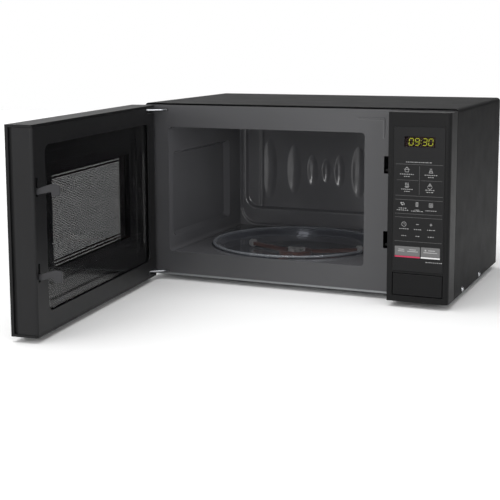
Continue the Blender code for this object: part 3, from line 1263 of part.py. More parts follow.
def fan_motor(parent):
    """A shaded-pole motor on a bar across the shroud."""
    back = REAR_INNER - FIT
    near = back - 0.024
    made = block("fan_motor", (FAN_X - 0.020, near, FAN_Z - 0.022), (FAN_X + 0.020, back - 0.004,
                                                                   FAN_Z + 0.018))
    fuse(made, block("bar", (DUCT_LEFT + PLASTIC + FIT, back - 0.010, FAN_Z - 0.005),
                     (DUCT_RIGHT - PLASTIC - FIT, back - 0.006, FAN_Z + 0.005)))
    cut(made, rod("bearing", (FAN_X, FAN_Z), SHAFT_RADIUS + AXLE_CLEARANCE, near - 0.01,
                  near + 0.006, "Y", 20))
    return finish(made, parent, material("fan_motor_steel", "74767a", 0.5, 0.8))


def fan_blade(fan_pivot):
    """Hub, shaft and twisted blades of the cooling fan."""
    near = REAR_INNER - FIT - 0.024
    hub_front = DUCT_FRONT + PLASTIC + 0.004
    hub_back = near - 0.0015
    profile = [(0, hub_front), (0.009, hub_front), (0.009, hub_back), (SHAFT_RADIUS, hub_back),
               (SHAFT_RADIUS, near + 0.005), (0, near + 0.005)]
    made = lathe("fan_blade", profile, (FAN_X, 0, FAN_Z), "Y", 20)
    span = BORE_RADIUS - FAN_CLEARANCE
    for i in range(FAN_BLADES):
        blade = block("blade", (0.006, hub_front + 0.002, -0.0007), (span, hub_back - 0.002,
                                                                    0.0007))
        centre = (hub_front + hub_back) / 2
        blade.data.transform(Matrix.Translation((0, -centre, 0)))
        blade.data.transform(Matrix.Rotation(math.radians(35), 4, "X"))
        blade.data.transform(Matrix.Scale(0.9, 4, (0, 1, 0)))
        blade.data.transform(Matrix.Rotation(2 * math.pi * i / FAN_BLADES, 4, "Y"))
        blade.data.transform(Matrix.Translation((FAN_X, centre, FAN_Z)))
        fuse(made, blade)
    return finish(made, fan_pivot, material("fan_plastic", "cfcabd", 0.5))


def lamp_socket(parent):
    """A sleeve on a tab of the cavity's wall that holds the lamp's base."""
    z = CAVITY_TOP - LAMP_BELOW_CEILING
    start = COMPARTMENT + 0.026
    made = rod("lamp_socket", (LAMP_Y, z), 0.009, start, start + 0.014, "X", 24)
    fuse(made, block("tab", (COMPARTMENT, LAMP_Y + 0.0115, z - 0.006),
                     (start + 0.004, LAMP_Y + 0.0130, z + 0.006)))
    fuse(made, block("arm", (start + 0.001, LAMP_Y + 0.006, z - 0.006),
                     (start + 0.004, LAMP_Y + 0.0130, z + 0.006)))
    cut(made, rod("bore", (LAMP_Y, z), 0.0065 + FIT, start - 0.01, start + 0.010, "X", 24))
    return finish(made, parent, material("socket_ceramic", "d9d4c8", 0.5))


def cavity_lamp(parent):
    """The oven's lamp, lying across the light holes."""
    z = CAVITY_TOP - LAMP_BELOW_CEILING
    start = COMPARTMENT + 0.002
    profile = [(0, 0), (0.006, 0.0012), (0.0095, 0.006), (LAMP_RADIUS, 0.011), (0.0085, 0.017),
               (0.0065, 0.0225), (0.0065, 0.0335), (0, 0.0335)]
    made = lathe("cavity_lamp", profile, (start, LAMP_Y, z), "X", 20)
    return finish(made, parent, material("lamp_glass", "d8d6cc", 0.15))


def thermal_cutout(parent):
    """The round thermostat clipped to the cavity's ceiling."""
    low = CAVITY_TOP + SHEET + FIT
    place = (CAVITY_RIGHT - 0.030, 0.060)
    made = rod("thermal_cutout", place, 0.008, low, low + 0.006, sides=20)
    fuse(made, block("plate", (place[0] - 0.013, place[1] - 0.005, low),
                     (place[0] + 0.013, place[1] + 0.005, low + 0.001)))
    return finish(made, parent, material("cutout_body", "2a2a2c", 0.5))


def noise_filter(parent):
    """The mains filter board on top of the fan's shroud: choke, capacitor and fuse holder."""
    low = DUCT_TOP + FIT
    left = DUCT_LEFT + 0.012
    front = DUCT_FRONT + 0.002
    made = block("noise_filter", (left, front, low), (left + 0.060, front + 0.038, low + 0.0016))
    fuse(made, rod("choke", (left + 0.016, front + 0.019), 0.010, low + 0.001, low + 0.014,
                   sides=20))
    fuse(made, block("film", (left + 0.030, front + 0.008, low + 0.001),
                     (left + 0.038, front + 0.030, low + 0.013)))
    fuse(made, block("fuse_holder", (left + 0.044, front + 0.006, low + 0.001),
                     (left + 0.052, front + 0.032, low + 0.009)))
    return finish(made, parent, material("filter_board", "3a5f43", 0.5))


def cord_gland(parent):
    """The grommet in the rear panel that the mains lead would pass through."""
    neck = GLAND_RADIUS - 0.003
    outside = REAR_OUTER + FIT
    inside = REAR_INNER - FIT
    profile = [(GLAND_BORE, inside - 0.004), (GLAND_RADIUS, inside - 0.004), (GLAND_RADIUS, inside),
               (neck, inside), (neck, outside), (GLAND_RADIUS, outside),
               (GLAND_RADIUS - 0.001, outside + 0.003), (0.0055, REAR_OUTER + GLAND_OUT),
               (GLAND_BORE, REAR_OUTER + GLAND_OUT)]
    made = lathe("cord_gland", profile, (GLAND_X, 0, GLAND_Z), "Y", 24)
    return finish(made, parent, material("gland_rubber", "19191a", 0.7))


# ---------------------------------------------------------------- assembly


def build_cabinet(cabinet):
    outer_case(cabinet)
    rear_panel(cabinet)
    base_plate(cabinet)
    front_plate(cabinet)
    feet(cabinet)
    screws(cabinet)
    cavity_wrap(cabinet)
    cavity_back(cabinet)
    waveguide_cover(cabinet)
    hinge("upper_hinge", UPPER_LEAF, -1, cabinet)
    hinge("lower_hinge", LOWER_LEAF, 1, cabinet)


def build_controls(cabinet):
    control_panel(cabinet)
    key_membrane(cabinet)
    display_window(cabinet)
    display_module(cabinet)
    control_board(cabinet)
    latch_board(cabinet)
    switches(cabinet)
    release_button(pivot("button_axis", (CASE_WIDTH - PANEL_WIDTH / 2, -PANEL_DEPTH,
                                         BUTTON_BOTTOM + BUTTON_HEIGHT / 2), cabinet))
    release_lever(pivot("lever_axis", (HOOK_X, LEVER_PIVOT_Y, LEVER_PIVOT_Z), cabinet))


def build_power(cabinet):
    waveguide(cabinet)
    magnetron(cabinet)
    transformer(cabinet)
    capacitor(cabinet)
    capacitor_clamp(cabinet)
    diode(cabinet)
    fan_duct(cabinet)
    fan_motor(cabinet)
    fan_blade(pivot("fan_axis", (FAN_X, DUCT_FRONT, FAN_Z), cabinet))
    lamp_socket(cabinet)
    cavity_lamp(cabinet)
    thermal_cutout(cabinet)
    noise_filter(cabinet)
    cord_gland(cabinet)


def build_turntable(cabinet):
    turntable_motor(cabinet)
    coupler_axis = pivot("coupler_axis", (TABLE_X, TABLE_Y, WELL_FLOOR), cabinet)
    turntable_coupler(coupler_axis)
    glass_tray(pivot("tray_axis", (TABLE_X, TABLE_Y, TRAY_BOTTOM), coupler_axis))
    ring_axis = pivot("ring_axis", (TABLE_X, TABLE_Y, ROLLER_Z), cabinet)
    roller_ring(ring_axis)
    rollers(ring_axis)


def build_door(cabinet):
    door_axis = pivot("door_axis", (HINGE_X, HINGE_Y, CASE_HEIGHT / 2), cabinet)
    door_axis.rotation_euler.z = -DOOR_ANGLE
    door_frame(door_axis)
    door_window(door_axis)
    door_panel(door_axis)
    choke_cover(door_axis)
    inner_window(door_axis)
    latch_axis = pivot("latch_axis", (HOOK_X, BAR_BACK, HOOK_LOW), door_axis)
    latch_lever(latch_axis)
    latch_spring(latch_axis)


def build():
    clear_scene()
    cabinet = pivot("cabinet", (0, 0, 0))
    cabinet.location = (-ORIGIN_X, -ORIGIN_Y, FOOT_HEIGHT)
    build_cabinet(cabinet)
    build_controls(cabinet)
    build_power(cabinet)
    build_turntable(cabinet)
    build_door(cabinet)
    bpy.context.view_layer.update()


build()
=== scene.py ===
"""A 20 litre countertop microwave oven in black and grey, its door open, on a pale floor.

Lengths are in metres.  Places on the cabinet are given from the case's lower left front corner:
X to the right, Y to the back from the front plate's face, Z up.  Places on the door are given in
the same way with the door shut, and turned about the hinge to where the door stands.
"""

import json
import math

import bmesh
import bpy
import numpy as np
from mathutils import Matrix, Vector

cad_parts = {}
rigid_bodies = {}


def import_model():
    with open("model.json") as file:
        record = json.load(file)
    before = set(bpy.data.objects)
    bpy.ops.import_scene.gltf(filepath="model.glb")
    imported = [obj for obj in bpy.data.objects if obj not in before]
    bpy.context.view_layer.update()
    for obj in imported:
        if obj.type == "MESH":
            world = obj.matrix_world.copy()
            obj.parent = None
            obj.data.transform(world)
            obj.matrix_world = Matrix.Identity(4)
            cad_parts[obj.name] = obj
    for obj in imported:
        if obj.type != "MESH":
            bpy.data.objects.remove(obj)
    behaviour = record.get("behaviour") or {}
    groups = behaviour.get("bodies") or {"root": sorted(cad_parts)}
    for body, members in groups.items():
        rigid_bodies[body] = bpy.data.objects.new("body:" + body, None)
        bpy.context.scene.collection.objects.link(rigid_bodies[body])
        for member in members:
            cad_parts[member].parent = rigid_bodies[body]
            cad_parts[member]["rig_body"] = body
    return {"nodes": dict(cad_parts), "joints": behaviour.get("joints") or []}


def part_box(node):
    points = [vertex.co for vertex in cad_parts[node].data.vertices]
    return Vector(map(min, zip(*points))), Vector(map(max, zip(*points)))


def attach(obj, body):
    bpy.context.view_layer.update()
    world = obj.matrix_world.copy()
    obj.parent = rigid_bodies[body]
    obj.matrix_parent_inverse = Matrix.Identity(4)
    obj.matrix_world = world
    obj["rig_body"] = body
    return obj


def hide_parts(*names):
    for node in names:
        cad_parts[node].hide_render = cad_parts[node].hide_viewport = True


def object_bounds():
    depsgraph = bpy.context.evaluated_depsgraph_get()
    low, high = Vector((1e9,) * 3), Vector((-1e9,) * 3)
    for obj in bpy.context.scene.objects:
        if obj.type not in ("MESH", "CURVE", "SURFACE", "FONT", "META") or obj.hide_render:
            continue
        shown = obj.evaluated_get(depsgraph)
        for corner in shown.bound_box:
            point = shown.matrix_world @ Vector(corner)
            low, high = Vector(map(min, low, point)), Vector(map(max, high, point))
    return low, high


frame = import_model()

CAD_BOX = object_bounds()


# ---------------------------------------------------------------- camera, floor and light
# A plain pale floor in soft, even studio light: a white room with a large soft box over the
# oven and a smaller one to its left, so that the black paint shows its edges.

CORNER = Vector((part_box("outer_case")[0].x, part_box("front_plate")[0].y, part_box("outer_case")[0].z))


def on_cabinet(x, y, z):
    """A place on the cabinet, in the frame's coordinates."""
    return CORNER + Vector((x, y, z))


def colour(hex_digits):
    """Linear RGBA of an sRGB colour: (c + 0.055) / 1.055 to the power 2.4 above 0.04045."""
    parts = np.array([int(hex_digits[i:i + 2], 16) for i in (0, 2, 4)]) / 255
    parts = np.where(parts <= 0.04045, parts / 12.92, ((parts + 0.055) / 1.055) ** 2.4)
    return (*[float(part) for part in parts], 1.0)


def add(tree, kind, inputs=(), **settings):
    """Adds a node. inputs maps a socket to a value, or to another node's output to link."""
    made = tree.nodes.new(kind)
    for key, value in settings.items():
        setattr(made, key, value)
    for key, value in dict(inputs).items():
        if isinstance(value, bpy.types.NodeSocket):
            tree.links.new(value, made.inputs[key])
        else:
            made.inputs[key].default_value = value
    return made


def in_scene(name, data):
    """A new object with this data, linked to the scene."""
    made = bpy.data.objects.new(name, data)
    bpy.context.scene.collection.objects.link(made)
    return made


def new_finish(name):
    """A fresh material, its node tree and its main shader."""
    made = bpy.data.materials.new(name)
    made.use_nodes = True
    return made, made.node_tree, made.node_tree.nodes["Principled BSDF"]


def camera():
    """A long lens at the height of the oven's top, to the right of its middle."""
    yaw, pitch, roll = -0.434545, 0.144137, -0.007826
    ahead = Vector((math.sin(yaw) * math.cos(pitch), math.cos(yaw) * math.cos(pitch),
                    -math.sin(pitch)))
    side = Vector((math.cos(yaw), -math.sin(yaw), 0))
    up = side.cross(ahead)
    across = side * math.cos(roll) + up * math.sin(roll)
    upright = up * math.cos(roll) - side * math.sin(roll)
    lens = bpy.data.cameras.new("camera")
    lens.sensor_width = 36
    lens.lens = 82.236
    lens.shift_x = 0.06433
    lens.shift_y = -0.10139
    lens.clip_end = 50
    made = in_scene("camera", lens)
    turn = Matrix((across, upright, -ahead)).transposed().to_4x4()
    made.matrix_world = Matrix.Translation(on_cabinet(0.7909, -1.4563, 0.3480)) @ turn
    bpy.context.scene.camera = made


def soft_box(name, place, target, size, power):
    """A square area light at place that faces target."""
    light = bpy.data.lights.new(name, "AREA")
    light.shape = "RECTANGLE"
    light.size, light.size_y = size
    light.energy = power
    made = in_scene(name, light)
    made.location = place
    made.rotation_euler = (Vector(target) - Vector(place)).to_track_quat("-Z", "Y").to_euler()


def studio():
    """A white background; the light comes mostly from the front left, little from behind."""
    world = bpy.data.worlds.new("studio")
    world.use_nodes = True
    bpy.context.scene.world = world
    tree = world.node_tree
    tree.nodes.clear()
    way = add(tree, "ShaderNodeTexCoord")
    facing = add(tree, "ShaderNodeVectorMath", {0: way.outputs["Generated"],
                                                1: (-0.5, -0.85, 0.15)}, operation="DOT_PRODUCT")
    share = add(tree, "ShaderNodeMapRange", {0: facing.outputs["Value"], 1: -0.75, 2: 0.9,
                                             3: 0.06, 4: 0.62}, interpolation_type="SMOOTHSTEP")
    path = add(tree, "ShaderNodeLightPath")
    strength = add(tree, "ShaderNodeMix", {0: path.outputs["Is Camera Ray"],
                                           2: share.outputs[0], 3: 1.0}, data_type="FLOAT")
    light = add(tree, "ShaderNodeBackground", {0: colour("ffffff"), 1: strength.outputs[0]})
    add(tree, "ShaderNodeOutputWorld", {0: light.outputs[0]})
    soft_box("overhead", (-0.3, -0.5, 2.3), (0, 0.0, 0.1), (3.0, 2.4), 48)
    soft_box("left_front", (-1.5, -2.6, 1.0), (0, 0.1, 0.12), (1.6, 1.4), 16)
    soft_box("right_front", (2.1, -1.5, 0.8), (0, 0.1, 0.12), (0.7, 1.3), 13)
    soft_box("right", (2.3, 0.3, 0.7), (0, -0.1, 0.12), (0.3, 1.2), 5)
    soft_box("front", (0.25, -1.6, 0.5), (0, 0.2, 0.12), (0.5, 0.5), 5)
    soft_box("back", (0.2, 2.6, 1.3), (0, 0.1, 0.2), (2.0, 0.5), 5)
    soft_box("floor_behind", (-2.2, 2.2, 1.6), (-2.2, 2.2, 0.0), (3.0, 2.6), 42)
    bpy.context.scene.view_settings.view_transform = "Standard"


def floor():
    """A flat sheet under the feet, nearly white."""
    half = 3.2
    level = CAD_BOX[0].z
    mesh = bpy.data.meshes.new("floor")
    mesh.from_pydata([(-half, -half, level), (half, -half, level), (half, half, level),
                      (-half, half, level)], [], [(0, 1, 2, 3)])
    paper, _, shader = new_finish("matt_paper")
    shader.inputs["Base Color"].default_value = colour("fafafa")
    shader.inputs["Roughness"].default_value = 0.9
    shader.inputs["Specular IOR Level"].default_value = 0.1
    mesh.materials.append(paper)
    in_scene("floor", mesh)


camera()
studio()
floor()


# ---------------------------------------------------------------- outer case
# The wrap over both sides and the top is one bent sheet of 0.8 mm steel.  It is powder coated
# in black: satin, with a fine orange peel that breaks reflections up a little.


def surface(name, hex_digits, roughness, metallic=0.0, ior=1.5, grain=1.0, relief=0.004,
            mottle=0.08, stretch=(1, 1, 1), gloss=0.5):
    """A one-colour finish with its small faults, as a material.

    Bumps stand grain millimetres apart and relief millimetres high.  A broad noise, 25 grains
    wide, lightens and darkens the colour by the share mottle and moves the roughness with it.
    """
    made, tree, shader = new_finish(name)
    place = add(tree, "ShaderNodeTexCoord")
    scaled = add(tree, "ShaderNodeMapping", {0: place.outputs["Object"], 3: stretch})
    fine = add(tree, "ShaderNodeTexNoise", {0: scaled.outputs[0], "Scale": 1000 / grain,
                                            "Detail": 3.0, "Roughness": 0.6})
    broad = add(tree, "ShaderNodeTexNoise", {0: scaled.outputs[0], "Scale": 40 / grain,
                                             "Detail": 4.0, "Roughness": 0.55})
    base = colour(hex_digits)
    dark = tuple(part * (1 - mottle) for part in base[:3]) + (1.0,)
    light = tuple(part * (1 + mottle) for part in base[:3]) + (1.0,)
    tone = add(tree, "ShaderNodeMix", {0: broad.outputs[0], 6: dark, 7: light}, data_type="RGBA")
    sheen = add(tree, "ShaderNodeMapRange", {0: broad.outputs[0], 1: 0.3, 2: 0.7,
                                             3: roughness * 0.95, 4: min(roughness * 1.05, 1)})
    bump = add(tree, "ShaderNodeBump", {"Strength": 1.0, "Distance": relief / 1000,
                                        "Height": fine.outputs[0]})
    for socket, value in (("Base Color", tone.outputs[2]), ("Roughness", sheen.outputs[0]),
                          ("Normal", bump.outputs[0])):
        tree.links.new(value, shader.inputs[socket])
    shader.inputs["Metallic"].default_value = metallic
    shader.inputs["IOR"].default_value = ior
    shader.inputs["Specular IOR Level"].default_value = gloss
    return made


def softened(node, name, look, width, segments=3, angle=32):
    """A copy of a CAD node with its flats joined up and its edges rounded by a bevel.

    Small faces that bend gently into a neighbour are shaded smooth, all others flat.
    """
    body = frame["nodes"][node]["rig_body"]
    shape = bmesh.new()
    shape.from_mesh(frame["nodes"][node].data)
    bmesh.ops.remove_doubles(shape, verts=shape.verts, dist=2e-6)
    bmesh.ops.dissolve_limit(shape, angle_limit=math.radians(0.6), verts=shape.verts,
                             edges=shape.edges)
    for face in shape.faces:
        bends = [edge.calc_face_angle(0) for edge in face.edges]
        face.smooth = face.calc_area() < 0.0003 and any(0.01 < bend < 0.6 for bend in bends)
    mesh = bpy.data.meshes.new(name)
    shape.to_mesh(mesh)
    shape.free()
    mesh.materials.clear()
    mesh.materials.append(look)
    made = in_scene(name, mesh)
    if width:
        round_over = made.modifiers.new("edges", "BEVEL")
        round_over.width = width
        round_over.segments = segments
        round_over.limit_method = "ANGLE"
        round_over.angle_limit = math.radians(angle)
        round_over.use_clamp_overlap = True
    else:
        mesh.set_sharp_from_angle(angle=math.radians(angle))
    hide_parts(node)
    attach(made, body)
    return made


case_paint = surface("powder_coated_steel_black", "101011", 0.56, grain=1.2, relief=0.004,
                     mottle=0.04, gloss=0.10)
softened("outer_case", "case_sheet", case_paint, 0.00035)


# ---------------------------------------------------------------- front plate
# The face round the cavity is pressed from the same sheet and welded to the liner.  It has dark
# grey stoved paint, smoother than the case's, so it goes lighter towards the light.

plate_paint = surface("stoved_paint_dark_grey", "3f3f41", 0.38, grain=1.5, relief=0.004,
                      mottle=0.05)
softened("front_plate", "plate_sheet", plate_paint, 0.0002)


def object_of(name, mesh, look, body, nodes=()):
    """Puts a finished mesh in the scene, on its body, in place of the CAD nodes."""
    mesh.materials.append(look)
    made = in_scene(name, mesh)
    if nodes:
        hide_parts(*nodes)
    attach(made, body)
    return made


def mesh_of(name, points, faces, smooth=True):
    """A mesh from an N by 3 array of points and faces of one or more corner counts."""
    mesh = bpy.data.meshes.new(name)
    mesh.from_pydata(np.asarray(points, float).tolist(), [], faces)
    mesh.polygons.foreach_set("use_smooth", [smooth] * len(mesh.polygons))
    mesh.update()
    return mesh


def shell(name, front, back, mask=None, sharp=35):
    """A thin solid between two grids of points (rows by columns by 3).

    mask says which cells are there.  A cell's front face runs row, column, then back, and a
    wall closes each edge that a present cell shares with an absent one or with the border.
    """
    rows, columns = front.shape[:2]
    mask = np.ones((rows - 1, columns - 1), bool) if mask is None else mask
    number = np.arange(rows * columns).reshape(rows, columns)
    a, b = number[:-1, :-1], number[:-1, 1:]
    c, d = number[1:, 1:], number[1:, :-1]
    count = rows * columns
    faces = [np.stack([a, b, c, d], -1)[mask], np.stack([d, c, b, a], -1)[mask] + count]
    padded = np.pad(mask, 1)
    here = padded[1:-1, 1:-1]
    for near, (p, q) in ((padded[:-2, 1:-1], (a, b)), (padded[2:, 1:-1], (c, d)),
                         (padded[1:-1, 2:], (b, c)), (padded[1:-1, :-2], (d, a))):
        edge = here & ~near
        faces.append(np.stack([q, p, p + count, q + count], -1)[edge])
    faces = np.concatenate(faces)
    points = np.concatenate([front.reshape(-1, 3), back.reshape(-1, 3)])
    used, compact = np.unique(faces, return_inverse=True)
    points, faces = points[used], compact.reshape(faces.shape)
    mesh = bpy.data.meshes.new(name)
    mesh.vertices.add(len(points))
    mesh.vertices.foreach_set("co", points.astype(np.float32).ravel())
    mesh.loops.add(faces.size)
    mesh.loops.foreach_set("vertex_index", faces.astype(np.int32).ravel())
    mesh.polygons.add(len(faces))
    mesh.polygons.foreach_set("loop_start", np.arange(0, faces.size, 4, dtype=np.int32))
    mesh.update(calc_edges=True)
    mesh.shade_smooth()
    mesh.set_sharp_from_angle(angle=math.radians(sharp))
    return mesh


def pressed_line():
    """A half-round bead in the plate's pressed groove: along the top, then down, 2 mm wide.

    Its height over the width w is 0.55 mm times the root of 1 - (2t)^2, for t from -1/2 to 1/2.
    """
    corner = np.array([0.3580, 0.2348])
    path = [corner + (-0.0365, 0)]
    path += [corner + (-0.002 + 0.002 * math.sin(a), -0.002 + 0.002 * math.cos(a))
             for a in np.linspace(0, math.pi / 2, 6)]
    path += [corner + (0, -0.024)]
    path = np.array(path)
    way = np.gradient(path, axis=0)
    way /= np.linalg.norm(way, axis=1)[:, None]
    side = np.stack([-way[:, 1], way[:, 0]], -1)
    across = np.linspace(-0.5, 0.5, 13)
    flat = path[:, None] + side[:, None] * across[None, :, None] * 0.0020
    rise = 0.00055 * np.sqrt(np.clip(1 - (2 * across) ** 2, 0, 1))
    y = np.broadcast_to(0.0004 - rise, flat.shape[:2])
    front = np.stack([flat[..., 0], y, flat[..., 1]], -1) + np.array(CORNER)
    back = np.stack([flat[..., 0], np.full_like(y, 0.0008), flat[..., 1]], -1) + np.array(CORNER)
    object_of("pressed_line", shell("pressed_line", front[:, ::-1], back[:, ::-1]), plate_paint,
              "cabinet")


pressed_line()


# ---------------------------------------------------------------- oven cavity
# Wrap and back wall are deep-drawn steel in grey stoving enamel, semi-gloss.  The back wall is
# pressed: a dish with round corners, a deeper niche above, seven dimples and two channels.

enamel = surface("stoving_enamel_grey", "5a5a5d", 0.16, grain=2.0, relief=0.0006, mottle=0.03)
softened("cavity_wrap", "liner", enamel, 0.0012, 3, 25)


def step(distance, width):
    """0 for distances below -width/2, 1 above width/2, and 3t^2 - 2t^3 between."""
    t = np.clip(distance / width + 0.5, 0, 1)
    return t * t * (3 - 2 * t)


def inside_rounded(x, z, left, low, right, high, radius):
    """Distance inside a rectangle with round corners: positive inside, negative outside."""
    dx = np.abs(x - (left + right) / 2) - (right - left) / 2 + radius
    dz = np.abs(z - (low + high) / 2) - (high - low) / 2 + radius
    return radius - np.hypot(np.maximum(dx, 0), np.maximum(dz, 0)) - np.minimum(
        np.maximum(dx, dz), 0)


def back_wall():
    """Depth is the sum of the dish (3 mm), the niche (5 mm), dimples and channels.

    A dimple is 3.2 mm times (1 - r^2)^1.2, with r the elliptical radius; a channel is 2.2 mm
    deep.
    """
    low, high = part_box("cavity_back")
    wide, tall = 250, 154
    x, z = np.meshgrid(np.linspace(low.x, high.x, wide), np.linspace(low.z, high.z, tall))
    sheet = 0.0008
    left, right = low.x + sheet, high.x - sheet
    bottom, top = low.z + sheet, high.z - sheet
    middle = (left + right) / 2
    half = (right - left) / 2
    depth = 0.003 * step(inside_rounded(x, z, left + 0.0016, bottom + 0.0016, right - 0.0016,
                                        top - 0.0016, 0.028) - 0.0012, 0.0024)
    depth += 0.005 * step(inside_rounded(x, z, left + 0.008, bottom + 0.0275, right - 0.008,
                                         top - 0.008, 0.022) - 0.002, 0.005)
    centre = (bottom + 0.033 + top - 0.008) / 2 - 0.009
    tallness = (top - bottom - 0.041) / 2
    # Shares of the wall's half width and half height: each dimple's place, width and height.
    for place, width, height in ((0, 0.044, 0.28), (0.156, 0.058, 0.37), (0.371, 0.080, 0.58),
                                 (0.66, 0.086, 0.72)):
        for side in (-1, 1) if place else (-1,):
            radius = np.hypot((x - middle - side * place * half) / (width * half),
                              (z - centre) / (height * tallness))
            depth += 0.0032 * np.clip(1 - radius ** 2, 0, 1) ** 1.2
    for side in (-1, 1):
        channel = middle + side * (half - 0.031 - 0.00425)
        depth += 0.0022 * step(inside_rounded(x, z, channel - 0.0045, bottom + 0.0285,
                                              channel + 0.0045, top - 0.020, 0.0044) - 0.0012,
                               0.0026)
    front = np.stack([x, low.y + depth, z], -1)
    back = front + np.array([0, sheet, 0])
    mesh = shell("back_wall", front, back)
    object_of("back_wall", mesh, enamel, "cabinet", ["cavity_back"])


back_wall()


# ---------------------------------------------------------------- waveguide cover
# A sheet of mica, 0.8 mm thick, clipped over the waveguide's port in the right wall.  Mica is
# greyish brown, with fine glittering flakes.


def coat(node, look):
    """Gives a CAD node that is shown as it is the finish of its real piece."""
    frame["nodes"][node].data.materials[0] = look


coat("waveguide_cover", surface("phlogopite_mica", "8d8372", 0.5, grain=3.0, relief=0.02,
                                mottle=0.25))


# ---------------------------------------------------------------- glass tray
# Pressed soda-lime glass, 3.5 mm thick and 248 mm across, with an upturned rim.  Clear, with a
# faint green cast and a pale painted highlight along the rim; three lugs underneath engage the coupler.


def glass(name, hex_digits, roughness, smear):
    """Clear glass of the given tint; smears about 22 mm apart raise its roughness."""
    made, tree, shader = new_finish(name)
    shader.inputs["Base Color"].default_value = colour(hex_digits)
    shader.inputs["Transmission Weight"].default_value = 1.0
    shader.inputs["IOR"].default_value = 1.52
    place = add(tree, "ShaderNodeTexCoord")
    noise = add(tree, "ShaderNodeTexNoise", {0: place.outputs["Object"], "Scale": 45.0,
                                             "Detail": 5.0})
    film = add(tree, "ShaderNodeMapRange", {0: noise.outputs[0], 1: 0.45, 2: 0.75, 3: roughness,
                                            4: roughness + smear})
    tree.links.new(film.outputs[0], shader.inputs["Roughness"])
    return made


def clear_film(name, hex_digits, matt, dust_and_painted_highlight=0.0):
    """A thin clear sheet: straight transparency, gloss by Fresnel, and a pale diffuse share.

    matt scales the gloss of the outward side; smears about 33 mm apart change its roughness.
    A small pale share is dust; the large one given to the tray's rim is a painted highlight.
    """
    made, tree, shader = new_finish(name)
    tree.nodes.remove(shader)
    place = add(tree, "ShaderNodeTexCoord")
    noise = add(tree, "ShaderNodeTexNoise", {0: place.outputs["Object"], "Scale": 30.0,
                                             "Detail": 4.0})
    smear = add(tree, "ShaderNodeMapRange", {0: noise.outputs[0], 1: 0.4, 2: 0.8, 3: 0.03,
                                             4: 0.10})
    gloss = add(tree, "ShaderNodeBsdfGlossy", {0: colour("ffffff"), 1: smear.outputs[0]})
    through = add(tree, "ShaderNodeBsdfTransparent", {0: colour(hex_digits)})
    side = add(tree, "ShaderNodeNewGeometry")
    outside = add(tree, "ShaderNodeMapRange", {0: side.outputs["Backfacing"], 3: matt, 4: 0.0})
    bare = add(tree, "ShaderNodeFresnel", {0: 1.5})
    share = add(tree, "ShaderNodeMath", {0: bare.outputs[0], 1: outside.outputs[0]},
                operation="MULTIPLY")
    mixed = add(tree, "ShaderNodeMixShader", {0: share.outputs[0], 1: through.outputs[0],
                                              2: gloss.outputs[0]})
    # The pale diffuse share is dust on the glass, and on the tray's rim a painted highlight.
    haze = add(tree, "ShaderNodeBsdfDiffuse", {0: colour("c8ccd2")})
    dust_and_highlight_layer = add(tree, "ShaderNodeMixShader", {0: dust_and_painted_highlight, 1: mixed.outputs[0], 2: haze.outputs[0]})
    tree.links.new(dust_and_highlight_layer.outputs[0], tree.nodes["Material Output"].inputs["Surface"])
    return made


def lattice(rows, columns, closed=False):
    """Quads of a grid whose columns close round, and its rows too if closed."""
    number = np.arange(rows * columns).reshape(rows, columns)
    number = np.concatenate([number, number[:1]]) if closed else number
    after = np.roll(number, -1, axis=1)
    return np.stack([number[:-1], after[:-1], after[1:], number[1:]], -1).reshape(-1, 4).tolist()


def caps(rows, count):
    """Triangles that close a grid's first and last ring with the two points after its last."""
    ring = np.arange(count)
    after = np.roll(ring, -1)
    middle = np.full(count, rows * count)
    last = (rows - 1) * count
    return np.concatenate([np.stack([middle, after, ring], -1),
                           np.stack([middle + 1, ring + last, after + last], -1)]).tolist()


def tray():
    """The profile (r, z) turned about the tray's axis; lugs stand 3 mm down between 9 and 15 mm.

    Each lug is a smooth step along the radius times one across the arm's direction.
    """
    low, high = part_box("glass_tray")
    centre = ((low.x + high.x) / 2, (low.y + high.y) / 2)
    edge = (high.x - low.x) / 2
    top = high.z
    under = top - 0.0115
    base = edge - 0.016
    thick = 0.0035
    bottom = [(r, under) for r in np.linspace(0.0008, 0.020, 26)]
    bottom += [(r, under) for r in np.linspace(0.024, base - 0.003, 12)]
    bottom += [(base - 0.002 + 0.0125 * t, under + 0.0072 * t ** 1.35)
               for t in np.linspace(0, 1, 9)]
    rim = [(edge + 0.0012 * math.cos(a) - 0.0012, top - 0.0018 + 0.0018 * math.sin(a))
           for a in np.linspace(-1.3, math.pi * 0.95, 12)]
    inner = [(base - 0.0035 + 0.0125 * t, under + thick + 0.0062 * t ** 1.5)
             for t in np.linspace(1, 0, 9)]
    inner += [(r, under + thick) for r in np.linspace(base - 0.007, 0.0008, 14)]
    profile = np.array(bottom + rim + inner)
    count = 144
    around = np.arange(count) * 2 * math.pi / count
    radius, angle = np.meshgrid(profile[:, 0], around, indexing="ij")
    height = np.repeat(profile[:, 1:2], count, 1)
    lugs = np.zeros_like(radius)
    for i in range(3):
        arm = math.radians(33 + 60 + 120 * i)
        along = radius * np.cos(angle - arm)
        across = np.abs(radius * np.sin(angle - arm))
        lugs += step(along - 0.0095, 0.0012) * step(0.0145 - along, 0.0012) * step(
            0.0025 - across, 0.0012)
    under_side = np.arange(len(profile)) < len(bottom)
    height -= 0.003 * lugs * under_side[:, None]
    points = np.stack([centre[0] + radius * np.cos(angle), centre[1] + radius * np.sin(angle),
                       height], -1).reshape(-1, 3)
    points = np.concatenate([points, [[*centre, under], [*centre, under + thick]]])
    mesh = mesh_of("tray", points, lattice(len(profile), count) + caps(len(profile), count))
    object_of("tray", mesh, clear_film("soda_lime_glass", "eeeff2", 1.0, 0.03),
              "tray", ["glass_tray"])
    # The rim's faces take a larger pale share: a painted highlight along the glass's edge.
    mesh.materials.append(clear_film("soda_lime_glass_painted_rim_highlight", "e4e6ea", 1.0, 0.20))
    row = np.arange(len(mesh.polygons)) // count
    bead = (row >= len(bottom) - 1) & (row < len(bottom) + len(rim) - 1)
    mesh.polygons.foreach_set("material_index", bead.astype(np.int32))


tray()


